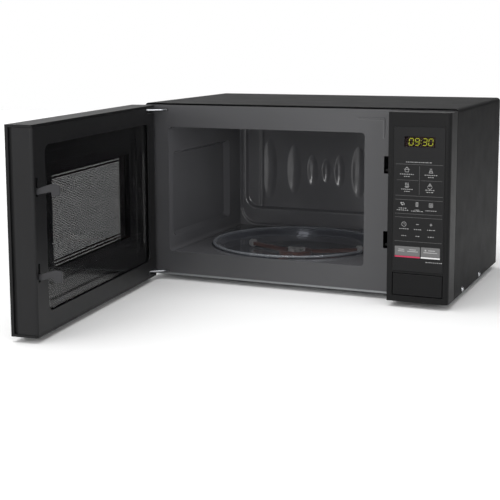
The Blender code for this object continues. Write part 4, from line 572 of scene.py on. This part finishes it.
# ---------------------------------------------------------------- turntable drive
# The three-armed ring is brown heat-proof nylon, its rollers off-white PTFE.  They are moulded,
# so their edges are round and the surface is slightly grainy.

nylon = surface("glass_filled_nylon_brown", "7a3c24", 0.42, grain=0.8, relief=0.01)
softened("roller_ring", "spider", nylon, 0.0006)
ptfe = surface("ptfe_white", "d9d6cd", 0.4, grain=0.8, relief=0.006, mottle=0.04)


def roller(number):
    """A wheel of 5.9 mm radius: a closed profile turned about the line out of the ring."""
    node = f"roller_{number}"
    low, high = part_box(node)
    centre = (low + high) / 2
    tray_low, tray_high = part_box("glass_tray")
    hub = (tray_low + tray_high) / 2
    angle = math.atan2(centre.y - hub.y, centre.x - hub.x)
    outward = np.array([math.cos(angle), math.sin(angle), 0])
    side = np.array([-math.sin(angle), math.cos(angle), 0])
    up = np.array([0, 0, 1.0])
    wheel, half, bore, soft = 0.0059, 0.004, 0.00215, 0.0011
    corner = np.linspace(0, math.pi / 2, 6)
    profile = [(bore, -half)]
    profile += [(wheel - soft + soft * math.sin(a), -half + soft - soft * math.cos(a))
                for a in corner]
    profile += [(wheel - soft + soft * math.cos(a), half - soft + soft * math.sin(a))
                for a in corner]
    profile += [(bore, half)]
    profile = np.array(profile)
    count = 48
    around = np.arange(count) * 2 * math.pi / count
    radius, turn = np.meshgrid(profile[:, 0], around, indexing="ij")
    along = np.repeat(profile[:, 1:2], count, 1)
    points = (np.array(centre)[None, None] + outward * along[..., None]
              + side * (radius * np.cos(turn))[..., None] + up * (radius * np.sin(turn))[..., None])
    mesh = mesh_of(f"wheel_{number}", points.reshape(-1, 3), lattice(len(profile), count, True))
    mesh.set_sharp_from_angle(angle=math.radians(40))
    object_of(f"wheel_{number}", mesh, ptfe, frame["nodes"][node]["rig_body"],
              [node])


for wheel_number in (1, 2, 3):
    roller(wheel_number)

acetal = surface("acetal_natural", "d6d1c6", 0.45, grain=0.8, relief=0.006, mottle=0.04)
softened("turntable_coupler", "drive_hub", acetal, 0.0004)


# ---------------------------------------------------------------- control panel
# The bezel and the button are moulded ABS with a fine spark-eroded texture, nearly black.  The
# key sheet is printed polyester film, 0.5 mm thick, a little lighter and satin.

bezel_plastic = surface("moulded_abs_black", "080809", 0.44, grain=0.7, relief=0.004,
                        gloss=0.18)
softened("control_panel", "bezel", bezel_plastic, 0.0009)
button_plastic = surface("moulded_abs_black_button", "080809", 0.42, grain=0.7, relief=0.004,
                         gloss=0.18)
softened("release_button", "button_cap", button_plastic, 0.0008, 3)
coat("key_membrane", surface("polyester_film_charcoal", "111112", 0.44, grain=0.9, relief=0.003,
                             mottle=0.04, gloss=0.2))


# ---------------------------------------------------------------- clock display
# Green vacuum-fluorescent digits behind a smoked acrylic lens.  Each digit is seven strokes on
# the tube's glass, 8.8 mm high and leaning a little.


def smoked(name, hex_digits, clear, roughness=0.05):
    """Smoked acrylic: a share of straight tinted transparency under a glossy dark surface."""
    made, tree, shader = new_finish(name)
    shader.inputs["Base Color"].default_value = colour("0c0a0b")
    shader.inputs["IOR"].default_value = 1.49
    place = add(tree, "ShaderNodeTexCoord")
    noise = add(tree, "ShaderNodeTexNoise", {0: place.outputs["Object"], "Scale": 60.0,
                                             "Detail": 4.0})
    haze = add(tree, "ShaderNodeMapRange", {0: noise.outputs[0], 1: 0.4, 2: 0.8, 3: roughness,
                                            4: roughness + 0.05})
    tree.links.new(haze.outputs[0], shader.inputs["Roughness"])
    through = add(tree, "ShaderNodeBsdfTransparent", {0: colour(hex_digits)})
    mixed = add(tree, "ShaderNodeMixShader", {0: clear, 1: shader.outputs[0],
                                              2: through.outputs[0]})
    tree.links.new(mixed.outputs[0], tree.nodes["Material Output"].inputs["Surface"])
    return made


coat("display_window", smoked("smoked_acrylic", "dcd2d2", 0.86))


def slabs(name, outlines, front, back):
    """Flat shapes in the X-Z plane, each a closed slab from Y = front to Y = back."""
    points, faces = [], []
    for outline in outlines:
        outline = np.asarray(outline, float)
        spoke = outline - outline.mean(0)
        turn = np.roll(spoke, -1, axis=0)
        if (spoke[:, 0] * turn[:, 1] - spoke[:, 1] * turn[:, 0]).sum() < 0:
            outline = outline[::-1]
        count = len(outline)
        here = sum(map(len, points)) + np.arange(count)
        after = np.roll(here, -1)
        points += [np.insert(outline, 1, front, axis=1), np.insert(outline, 1, back, axis=1)]
        faces += [here.tolist(), (here[::-1] + count).tolist()]
        faces += np.stack([after, here, here + count, after + count], -1).tolist()
    return mesh_of(name, np.concatenate(points), faces, smooth=False)


def stroke(points, width):
    """A line of the given width through points: both sides offset by half, mitred at bends."""
    points = np.asarray(points, float)
    ways = np.diff(points, axis=0)
    ways /= np.linalg.norm(ways, axis=1)[:, None]
    normals = np.stack([-ways[:, 1], ways[:, 0]], -1)
    joined = np.concatenate([normals[:1], normals[:-1] + normals[1:], normals[-1:]])
    joined /= np.linalg.norm(joined, axis=1)[:, None]
    lengths = np.concatenate([[1], 1 / np.clip((joined[1:-1] * normals[1:]).sum(1), 0.4, 1), [1]])
    offset = joined * (lengths * width / 2)[:, None]
    return np.concatenate([points + offset, (points - offset)[::-1]])


def digit(figure, x, z, width, height, lean):
    """The strokes of a seven-segment figure whose lower left corner is at x, z."""
    lit = {"0": "abcdef", "3": "abcdg", "9": "abcdfg"}[figure]
    gap, thick, half = 0.0004, 0.0009, height / 2
    ends = {"a": ((0, height), (width, height)), "b": ((width, height), (width, half)),
            "c": ((width, half), (width, 0)), "d": ((0, 0), (width, 0)), "e": ((0, half), (0, 0)),
            "f": ((0, height), (0, half)), "g": ((0, half), (width, half))}
    shapes = []
    for segment in lit:
        start, end = (np.array(point, float) for point in ends[segment])
        way = (end - start) / np.linalg.norm(end - start)
        side = np.array([-way[1], way[0]]) * thick / 2
        start, end = start + way * gap, end - way * gap
        shape = np.array([start, start + way * thick / 2 + side, end - way * thick / 2 + side, end,
                          end - way * thick / 2 - side, start + way * thick / 2 - side])
        shape[:, 0] += shape[:, 1] * lean
        shapes.append(shape + (x, z))
    return shapes


def clock():
    """09:30 on the face of the display module."""
    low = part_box("display_window")[0]
    width, height, lean, dot = 0.0052, 0.0086, 0.10, 0.0005
    start = low.x + 0.0050
    base = low.z + 0.0020
    shapes = []
    for place, figure in ((0, "0"), (0.0078, "9"), (0.0176, "3"), (0.0254, "0")):
        shapes += digit(figure, start + place, base, width, height, lean)
    for level in (0.3, 0.7):
        centre = (start + 0.0154 + height * level * lean, base + height * level)
        shapes.append([(centre[0] + dot * math.cos(a), centre[1] + dot * math.sin(a))
                       for a in np.arange(8) * math.pi / 4])
    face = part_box("display_module")[0].y
    mesh = slabs("clock_digits", shapes, face - 0.00025, face - 0.00005)
    glow, tree, shader = new_finish("vacuum_fluorescent_phosphor")
    shader.inputs["Base Color"].default_value = colour("3a4a10")
    shader.inputs["Emission Strength"].default_value = 2.0
    place = add(tree, "ShaderNodeTexCoord")
    mesh_grid = add(tree, "ShaderNodeTexNoise", {0: place.outputs["Object"], "Scale": 900.0})
    lit = add(tree, "ShaderNodeMix", {0: mesh_grid.outputs[0], 6: colour("a8c818"),
                                      7: colour("d4e850")}, data_type="RGBA")
    tree.links.new(lit.outputs[2], shader.inputs["Emission Color"])
    object_of("clock_digits", mesh, glow, "cabinet")


clock()
coat("display_module", surface("display_tube_housing", "3c2f31", 0.4, grain=0.8, relief=0.003))


# ---------------------------------------------------------------- printing on the key sheet
# Screen-printed ink, 0.05 mm thick: ruled lines, plain symbols and short bars under them, and
# two grey keys with a coloured edge.  The ink is matt and slightly uneven.


def bar(x, z, width, height):
    """A rectangle centred at x, z."""
    return [(x - width / 2, z - height / 2), (x + width / 2, z - height / 2),
            (x + width / 2, z + height / 2), (x - width / 2, z + height / 2)]


def arc(x, z, radius, start, end, count=14):
    """Points of a circle's arc, with angles in degrees."""
    angles = np.radians(np.linspace(start, end, count))
    return np.stack([x + radius * np.cos(angles), z + radius * np.sin(angles)], -1)


def symbols():
    """Plain cooking symbols at their keys' centres, in millimetres from the case's corner."""
    thin = 0.45
    shapes = []
    x, z = 398.9, 172.9  # pot with its lid and handle
    shapes += [stroke([(x - 2.6, z + 0.6), (x - 2.0, z - 2.4), (x + 2.0, z - 2.4),
                       (x + 2.6, z + 0.6)], thin), bar(x, z + 1.1, 6.6, 0.6),
               stroke(arc(x, z + 1.4, 2.0, 170, 10), thin), bar(x, z + 3.8, 0.9, 0.9)]
    x, z = 430.2, 173.0  # flask
    shapes += [stroke([(x - 2.4, z - 2.6), (x - 0.8, z + 1.0), (x - 0.8, z + 3.2)], thin),
               stroke([(x + 2.4, z - 2.6), (x + 0.8, z + 1.0), (x + 0.8, z + 3.2)], thin),
               bar(x, z - 2.7, 5.4, 0.5), bar(x, z - 0.9, 2.8, 0.5)]
    x, z = 399.3, 153.6  # steaming dish
    for offset in (-1.7, 0, 1.7):
        wave = np.linspace(0, 1, 9)
        shapes.append(stroke(np.stack([x + offset + 0.4 * np.sin(wave * 6.28), z - 1.0
                                       + wave * 4.2], -1), thin))
    shapes += [bar(x, z - 1.9, 5.6, 0.5), bar(x, z - 2.9, 4.2, 0.5)]
    x, z = 429.2, 153.7  # slice
    shapes += [stroke([(x - 3.0, z - 1.6), (x, z + 3.0), (x + 3.0, z - 1.6)], thin),
               stroke(arc(x, z - 1.2, 2.9, 200, 340), thin),
               stroke(arc(x, z + 0.2, 0.8, 0, 350, 12), 0.35)]
    x, z = 393.7, 129.2  # pieces
    shapes += [bar(x - 1.6, z + 0.9, 1.8, 1.8), bar(x + 0.8, z + 1.3, 1.2, 1.2),
               bar(x - 0.2, z - 1.3, 2.4, 1.1), bar(x + 2.2, z - 0.4, 0.7, 2.4)]
    x, z = 412.8, 129.0  # stack
    for offset in (-2.4, -0.8, 0.8, 2.4):
        shapes.append(bar(x, z + offset, 4.2 - 0.4 * abs(offset), 0.7))
    x, z = 431.0, 128.7  # grid
    shapes += [bar(x - 2.3, z, 0.45, 5.0), bar(x + 2.3, z, 0.45, 5.0), bar(x, z + 2.4, 4.1, 0.45),
               bar(x, z - 2.4, 4.1, 0.45), bar(x - 0.8, z, 0.6, 3.2), bar(x + 0.8, z, 0.6, 3.2)]
    x, z = 396.1, 102.6  # timer, and minus and plus beside it
    shapes += [stroke(arc(x, z, 2.9, start, start + 176, 16), thin) for start in (92, 272)]
    shapes.append(stroke([(x, z + 1.8), (x, z), (x + 1.3, z)], 0.4))
    shapes.append(bar(413.9, 103.1, 3.6, 0.6))
    x, z = 431.5, 103.5
    shapes += [bar(x, z, 3.2, 0.6), bar(x, z + 1.0, 0.6, 1.4), bar(x, z - 1.0, 0.6, 1.4)]
    return shapes


def captions():
    """Rows of small blocks, 0.9 mm high, that stand for the words under each symbol."""
    shapes = []
    # Millimetres from the case's corner to each row's middle, and the row's width.
    rows = ((398.9, 167.6, 19), (398.9, 164.8, 8), (430.2, 167.4, 17), (430.2, 164.6, 8),
            (399.3, 148.2, 16), (399.3, 145.4, 8), (429.2, 148.2, 12), (429.2, 145.4, 9),
            (393.7, 123.4, 11), (393.7, 120.9, 16), (412.8, 121.8, 7), (412.8, 120.2, 16),
            (431.0, 121.6, 15), (396.1, 96.6, 13), (413.9, 96.4, 10), (431.5, 96.6, 11),
            (396.1, 87.6, 7), (413.9, 87.6, 6), (431.5, 87.6, 9), (436.0, 54.4, 22),
            (414.0, 183.4, 34))
    for x, z, width in rows:
        blocks = max(int(width / 2.3), 2)
        pitch = width / blocks
        for i in range(blocks):
            wide = pitch * (0.62 + 0.22 * math.sin(3.1 * i + x))
            shapes.append(bar(x - width / 2 + pitch * (i + 0.5), z, wide, 0.85))
    return shapes


def rounded_bar(x, z, width, height, radius):
    """A rectangle centred at x, z with its corners rounded."""
    corners = ((1, 1, 0), (-1, 1, 90), (-1, -1, 180), (1, -1, 270))
    return np.concatenate([arc(x + a * (width / 2 - radius), z + b * (height / 2 - radius), radius,
                               start, start + 90, 5) for a, b, start in corners])


def printing():
    """Ink shapes are slabs that stand a few hundredths of a millimetre before the film.

    The keys' ink is built up to 0.2 mm, and their marks lie on it.
    """
    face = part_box("key_membrane")[0].y
    corner = np.array([CORNER.x, CORNER.z])
    white = surface("screen_ink_white", "9c9c9c", 0.6, grain=1.2, relief=0.003, mottle=0.18)
    grey = surface("screen_ink_rule_grey", "565656", 0.6, grain=1.2, relief=0.003, mottle=0.15)
    key_grey = surface("screen_ink_key_grey", "5c5c5c", 0.5, grain=1.2, relief=0.004)
    red = surface("screen_ink_carmine", "b01c46", 0.5, grain=1.2, relief=0.003)
    bright = surface("screen_ink_edge_white", "cfcfcf", 0.5, grain=1.2, relief=0.003)
    rules = [bar(415, z, 62, 0.35) for z in (180.5, 139.8, 134.6, 116.3, 111.7, 80.2)]
    rules += [bar(400, 160, 28, 0.3), bar(431, 160, 28, 0.3), bar(415.4, 160, 0.3, 37)]
    keys = [rounded_bar(401.1, 67.4, 33.2, 12.4, 0.8), rounded_bar(431.4, 67.6, 24.7, 12.2, 0.8)]
    marks = [bar(393.0, 69.5, 7.5, 0.9), bar(393.0, 67.2, 8.5, 0.9), bar(408.0, 69.5, 9.0, 0.9),
             bar(408.0, 67.2, 14.0, 0.9), bar(425.0, 69.8, 2.0, 2.0), bar(433.0, 69.8, 9.0, 0.9),
             bar(431.4, 67.0, 18.0, 0.9)]
    # Each print's shapes, how far its front and back stand before the film, and its ink.
    for name, shapes, front, back, ink in (
            ("print_symbols", symbols() + captions(), 0.00006, 0.00001, white),
            ("print_rules", rules, 0.00005, 0.00001, grey),
            ("print_keys", keys, 0.00022, 0.00001, key_grey),
            ("print_stop_edge", [bar(401.1, 60.0, 33.2, 1.9)], 0.00022, 0.00001, red),
            ("print_start_edge", [bar(431.4, 60.1, 24.7, 1.9)], 0.00022, 0.00001, bright),
            ("print_key_marks", marks, 0.00028, 0.00023, white)):
        outlines = [np.asarray(shape, float) / 1000 + corner for shape in shapes]
        object_of(name, slabs(name, outlines, face - front, face - back), ink,
                  "cabinet")


printing()


# ---------------------------------------------------------------- door
# Two ABS mouldings clip together round a steel screen: the outer frame with its dark pane, and
# the grey inner cover.  Both have a fine mould texture and round edges.

HINGE = next(joint for joint in frame["joints"] if joint["name"] == "door_hinge")
SHUT = Matrix.Rotation(math.radians(HINGE["range_deg"][1]), 3, "Z")
PIN = Vector(HINGE["pos_m"])


def shut_box(node):
    """Lowest and highest corner of a door node with the door shut, from the case's corner."""
    mesh = frame["nodes"][node].data
    points = np.empty(len(mesh.vertices) * 3)
    mesh.vertices.foreach_get("co", points)
    points = points.reshape(-1, 3)
    turned = (points - np.array(PIN)) @ np.array(SHUT).T + np.array(PIN) - np.array(CORNER)
    return turned.min(0), turned.max(0)


def open_door(points):
    """Turns places given for the shut door to where it stands open."""
    points = np.asarray(points, float) + np.array(CORNER) - np.array(PIN)
    return points @ np.array(SHUT) + np.array(PIN)


cover_plastic = surface("moulded_abs_grey", "19191a", 0.40, grain=0.7, relief=0.004, gloss=0.2)
frame_plastic = surface("moulded_abs_dark", "111112", 0.42, grain=0.7, relief=0.004, gloss=0.2)
softened("choke_cover", "inner_cover", cover_plastic, 0.0005, 3)
softened("door_frame", "outer_frame", frame_plastic, 0.0005)
hook_plastic = surface("moulded_acetal_dark", "2c2c2e", 0.40, grain=0.7, relief=0.006, gloss=0.3)
softened("latch_lever", "hook_bar", hook_plastic, 0.0003)


# ---------------------------------------------------------------- door screen
# The steel screen is pressed and painted black: a rim, a round-cornered step down to the field
# and an upright stadium-shaped recess on the hinge side.  The field is punched with small holes.


def door_pan():
    """Depth from the rim is the sum of two smooth steps, the stadium recess and the edge's flange.

    The field's opening is left free; the punched sheet lies behind it.
    """
    low, high = shut_box("door_panel")
    film_back = shut_box("inner_window")[0][1]
    left, bottom, right, top = 0.0790, 0.0690, 0.3135, 0.1850
    x, z = np.meshgrid(*(np.unique(np.concatenate([np.linspace(*span) for span in spans]))
                         for spans in (((low[0], left, 66), (left, right, 120),
                                        (right, high[0], 24)),
                                       ((low[2], bottom, 46), (bottom, top, 60),
                                        (top, high[2], 42)))))
    # Each pressing's depth, rectangle, corner radius, inset and width of its wall.
    depth = np.zeros_like(x)
    for drop, place, radius, inset, width in (
            (0.0016, (0.0600, 0.0330, 0.3330, 0.2140), 0.0100, 0.0010, 0.0022),
            (0.0008, (0.0720, 0.0530, 0.3290, 0.2000), 0.0060, 0.0010, 0.0020),
            (0.0034, (0.0300, 0.0440, 0.0600, 0.1880), 0.0148, 0.0012, 0.0024)):
        depth += drop * step(inside_rounded(x, z, *place, radius) - inset, width)
    edge = inside_rounded(x, z, low[0], low[2], high[0], high[2], 0.004)
    depth += 0.010 * step(0.0015 - edge, 0.002)
    y = film_back - 0.0006 - depth
    front = np.stack([x, y, z], -1)
    back = front - np.array([0, 0.0008, 0])
    across, upward = (x[:-1, :-1] + x[1:, 1:]) / 2, (z[:-1, :-1] + z[1:, 1:]) / 2
    mask = ~((across > left) & (across < right) & (upward > bottom) & (upward < top))
    front, back = (open_door(side.reshape(-1, 3)).reshape(side.shape)[:, ::-1]
                   for side in (front, back))
    mesh = shell("door_pan", front, back, mask[:, ::-1])
    paint = surface("stoved_paint_black", "0c0c0d", 0.18, grain=2.0, relief=0.0003,
                    gloss=0.3)
    object_of("door_pan", mesh, paint, "door", ["door_panel"])
    return y.min() - 0.0011, paint


def punched_sheet(back_of_pan, paint):
    """Hexagonal cells of 2.45 mm pitch, each with a hexagonal hole 2.04 mm across its corners.

    The second and fourth rows from the top and the bottom have no holes.  The sheet is one
    solid 0.3 mm thick: front and back rings, the holes' walls and a border.
    """
    pitch, hole, thick = 0.00245, 0.00102, 0.0003
    rise = pitch * math.sqrt(3) / 2
    columns, rows = 96, 55
    left, bottom = 0.0778, 0.0680
    i, j = np.meshgrid(np.arange(columns), np.arange(rows))
    x = left + pitch * (i + 0.5 * (j % 2)) + pitch / 2
    z = bottom + rise * (j + 0.5)
    blank = np.isin(j, (1, 3, rows - 4, rows - 2)).ravel()
    corner = np.radians(30 + 60 * np.arange(6))
    hexagon = np.stack([np.cos(corner), np.sin(corner)], -1)
    centres = np.stack([x.ravel(), z.ravel()], -1)
    outer = centres[:, None] + pitch / math.sqrt(3) * hexagon
    inner = centres[:, None] + hole * hexagon
    place = np.round(outer.reshape(-1, 2) / 1e-6).astype(int)
    _, first, shared = np.unique(place, axis=0, return_index=True, return_inverse=True)
    shared = shared.reshape(-1, 6)
    outer_points = outer.reshape(-1, 2)[first]
    open_cells = np.flatnonzero(~blank)
    inner_points = inner[open_cells].reshape(-1, 2)
    flat = np.concatenate([outer_points, inner_points])
    ring = np.full((len(centres), 6), -1)
    ring[open_cells] = len(outer_points) + np.arange(len(open_cells) * 6).reshape(-1, 6)
    count = len(flat)
    points = np.concatenate([np.insert(flat, 1, back_of_pan, axis=1),
                             np.insert(flat, 1, back_of_pan - thick, axis=1)])
    o, n = shared[open_cells], ring[open_cells]
    o2, n2 = np.roll(o, -1, 1), np.roll(n, -1, 1)
    quads = np.concatenate([np.stack([o, n, n2, o2], -1).reshape(-1, 4),
                            np.stack([o2, n2, n, o], -1).reshape(-1, 4) + count,
                            np.stack([n, n + count, n2 + count, n2], -1).reshape(-1, 4)])
    edges = np.stack([shared, np.roll(shared, -1, 1)], -1).reshape(-1, 2)
    border = edges[~np.isin(edges @ (count, 1), edges @ (1, count))]
    faces = quads.tolist() + shared[blank][:, ::-1].tolist() + (shared[blank] + count).tolist()
    faces += np.stack([border[:, 0], border[:, 1], border[:, 1] + count, border[:, 0] + count],
                      -1).tolist()
    mesh = mesh_of("punched_sheet", open_door(points), faces, smooth=False)
    object_of("punched_sheet", mesh, paint, "door")


sheet_place, screen_paint = door_pan()
punched_sheet(sheet_place, screen_paint)


# ---------------------------------------------------------------- door film and pane
# A clear glossy polyester film covers the screen on the oven's side.  On the outside a 2.2 mm
# pane of smoked glass is printed black all round and left see-through in the middle.


def printed_pane():
    """Object coordinates turned into the shut door's X and Z choose print or clear glass."""
    made = smoked("smoked_glass_printed", "c8c8c8", 0.0)
    tree = made.node_tree
    place = add(tree, "ShaderNodeTexCoord")
    centred = add(tree, "ShaderNodeMapping", {0: place.outputs["Object"],
                                              1: (-PIN.x, -PIN.y, -PIN.z)})
    turned = add(tree, "ShaderNodeMapping", {0: centred.outputs[0],
                                             2: (0, 0, math.radians(HINGE["range_deg"][1]))})
    split = add(tree, "ShaderNodeSeparateXYZ", {0: turned.outputs[0]})
    see_through = 0.9
    shares = []
    for axis, offset, start, end in (("X", CORNER.x - PIN.x, 0.052, 0.332),
                                     ("Z", CORNER.z - PIN.z, 0.060, 0.196)):
        for limit, way in ((start + offset, "GREATER_THAN"), (end + offset, "LESS_THAN")):
            shares.append(add(tree, "ShaderNodeMath", {0: split.outputs[axis], 1: limit},
                              operation=way).outputs[0])
    clear = shares[0]
    for share in shares[1:]:
        clear = add(tree, "ShaderNodeMath", {0: clear, 1: share}, operation="MULTIPLY").outputs[0]
    part = add(tree, "ShaderNodeMath", {0: clear, 1: see_through}, operation="MULTIPLY")
    mix = next(node for node in tree.nodes if node.type == "MIX_SHADER")
    tree.links.new(part.outputs[0], mix.inputs[0])
    return made


coat("inner_window", clear_film("polyester_film_clear", "f4f4f4", 0.3))
coat("door_window", printed_pane())


# ---------------------------------------------------------------- hinges, spring and screws
# Zinc-plated steel leaves and pins, a spring of drawn wire, and chromed pan-head screws with a
# cross recess.  Plating is bright, with a fine directional grain.

zinc = surface("zinc_plated_steel", "b9bbbf", 0.28, metallic=1.0, grain=0.6, relief=0.004,
               stretch=(0.3, 1, 1))
softened("upper_hinge", "top_hinge", zinc, 0.0002)
softened("lower_hinge", "bottom_hinge", zinc, 0.0002)
coat("latch_spring", surface("drawn_spring_wire", "8f9195", 0.3, metallic=1.0, grain=0.5,
                             relief=0.002))
chrome = surface("chromed_steel", "d4d6d9", 0.10, metallic=1.0, grain=0.8, relief=0.001,
                 mottle=0.03)


def screw(node, axis, outward):
    """Height over the head's polar grid is a dome, less a cross-shaped recess with soft sides.

    The dome is 1.8 mm times (1 - r^2.6); the cross is 0.9 mm wide and 1.1 mm deep.
    """
    low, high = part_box(node)
    centre = np.array((low + high) / 2)
    radius, tall, shank, sunk = 0.0036, 0.0018, 0.0015, 0.0011
    length = (high - low)[axis] - tall
    face = high[axis] - tall if outward > 0 else low[axis] + tall
    count = 48
    around = np.arange(count) * 2 * math.pi / count
    rings = np.concatenate([np.linspace(0.02, 0.80, 20), np.linspace(0.84, 1.0, 7)]) * radius
    r, angle = np.meshgrid(rings[::-1], around, indexing="ij")
    u, v = r * np.cos(angle), r * np.sin(angle)
    u_arm, v_arm = (step(0.00048 - np.abs(a), 0.0003) * step(0.0015 - np.abs(b), 0.0004)
                    for a, b in ((u, v), (v, u)))
    cross = np.maximum(u_arm, v_arm)
    head = 0.0004 + (tall - 0.0004) * (1 - (r / radius) ** 2.6) - sunk * cross
    side = [(shank, -length), (shank, 0.0), (radius, 0.0)]
    first = [np.stack([np.full(count, h), rr * np.cos(around), rr * np.sin(around)], -1)
             for rr, h in side]
    grid = np.concatenate([np.array(first), np.stack([head, u, v], -1)])
    rows = len(grid)
    points = np.concatenate([grid.reshape(-1, 3), [[-length, 0, 0], [tall - sunk, 0, 0]]])
    faces = lattice(rows, count) + caps(rows, count)
    out = np.zeros((len(points), 3))
    out[:, axis] = face + outward * points[:, 0]
    others = [i for i in range(3) if i != axis]
    out[:, others[0]] = centre[others[0]] + points[:, 1]
    out[:, others[1]] = centre[others[1]] + points[:, 2]
    if outward * (1 if axis != 1 else -1) < 0:
        faces = [face_corners[::-1] for face_corners in faces]
    mesh = mesh_of(node + "_head", out, faces)
    mesh.set_sharp_from_angle(angle=math.radians(50))
    object_of(node + "_head", mesh, chrome, "cabinet", [node])


for screw_name in sorted(frame["nodes"]):
    if screw_name.startswith("side_screw"):
        screw(screw_name, 0, -1 if "_left_" in screw_name else 1)
    elif screw_name.startswith("rear_screw"):
        screw(screw_name, 1, 1)


# ---------------------------------------------------------------- underside, back and works
# Galvanised base and back, rubber feet, and the power parts inside the case.  Each has the
# finish of its kind: spangled zinc, tin plate, varnish, ceramic, nylon, board lacquer.

galvanised = surface("galvanised_steel", "8e9092", 0.42, metallic=0.9, grain=6.0, relief=0.01,
                     mottle=0.16)
tin_plate = surface("tin_plate", "b2b4b6", 0.32, metallic=1.0, grain=2.0, relief=0.004)
rubber = surface("moulded_rubber", "161617", 0.75, grain=0.8, relief=0.02)
for rubber_foot in ("front_left", "front_right", "rear_left", "rear_right"):
    softened("foot_" + rubber_foot, "pad_" + rubber_foot, rubber, 0.0008, 3)
softened("cord_gland", "grommet", rubber, 0.0005)
dark_acetal = surface("acetal_black", "121213", 0.45, grain=0.8, relief=0.006)
cream = surface("flame_proof_nylon_cream", "cfcabd", 0.5, grain=0.8, relief=0.008)
works = {
    "rear_panel": galvanised, "base_plate": galvanised, "waveguide": tin_plate,
    "magnetron": tin_plate, "capacitor": tin_plate, "turntable_motor": tin_plate,
    "capacitor_clamp": galvanised, "fan_motor": galvanised, "latch_board": dark_acetal,
    "release_lever": dark_acetal, "fan_duct": cream, "fan_blade": cream,
    "transformer": surface("varnished_lamination", "4c3b2c", 0.5, metallic=0.2, grain=0.5,
                           relief=0.03, mottle=0.2, stretch=(0.05, 1, 0.05)),
    "diode": surface("epoxy_black", "1d1d1f", 0.35, grain=0.8, relief=0.004),
    "control_board": surface("solder_resist_green", "2f5a3a", 0.3, grain=2.0, relief=0.01),
    "noise_filter": surface("solder_resist_pale", "5b6b3e", 0.35, grain=2.0, relief=0.01),
    "lamp_socket": surface("steatite_ceramic", "d9d4c8", 0.45, grain=0.6, relief=0.01),
    "thermal_cutout": surface("phenolic_black", "2a2a2c", 0.4, grain=0.8, relief=0.008),
    "cavity_lamp": glass("lamp_glass", "f2f0e8", 0.03, 0.05)}
for switch in ("primary_switch", "secondary_switch", "monitor_switch"):
    works[switch] = surface(switch + "_phenolic", "3a1c1a", 0.45, grain=0.8, relief=0.006)
for works_node, works_finish in works.items():
    coat(works_node, works_finish)
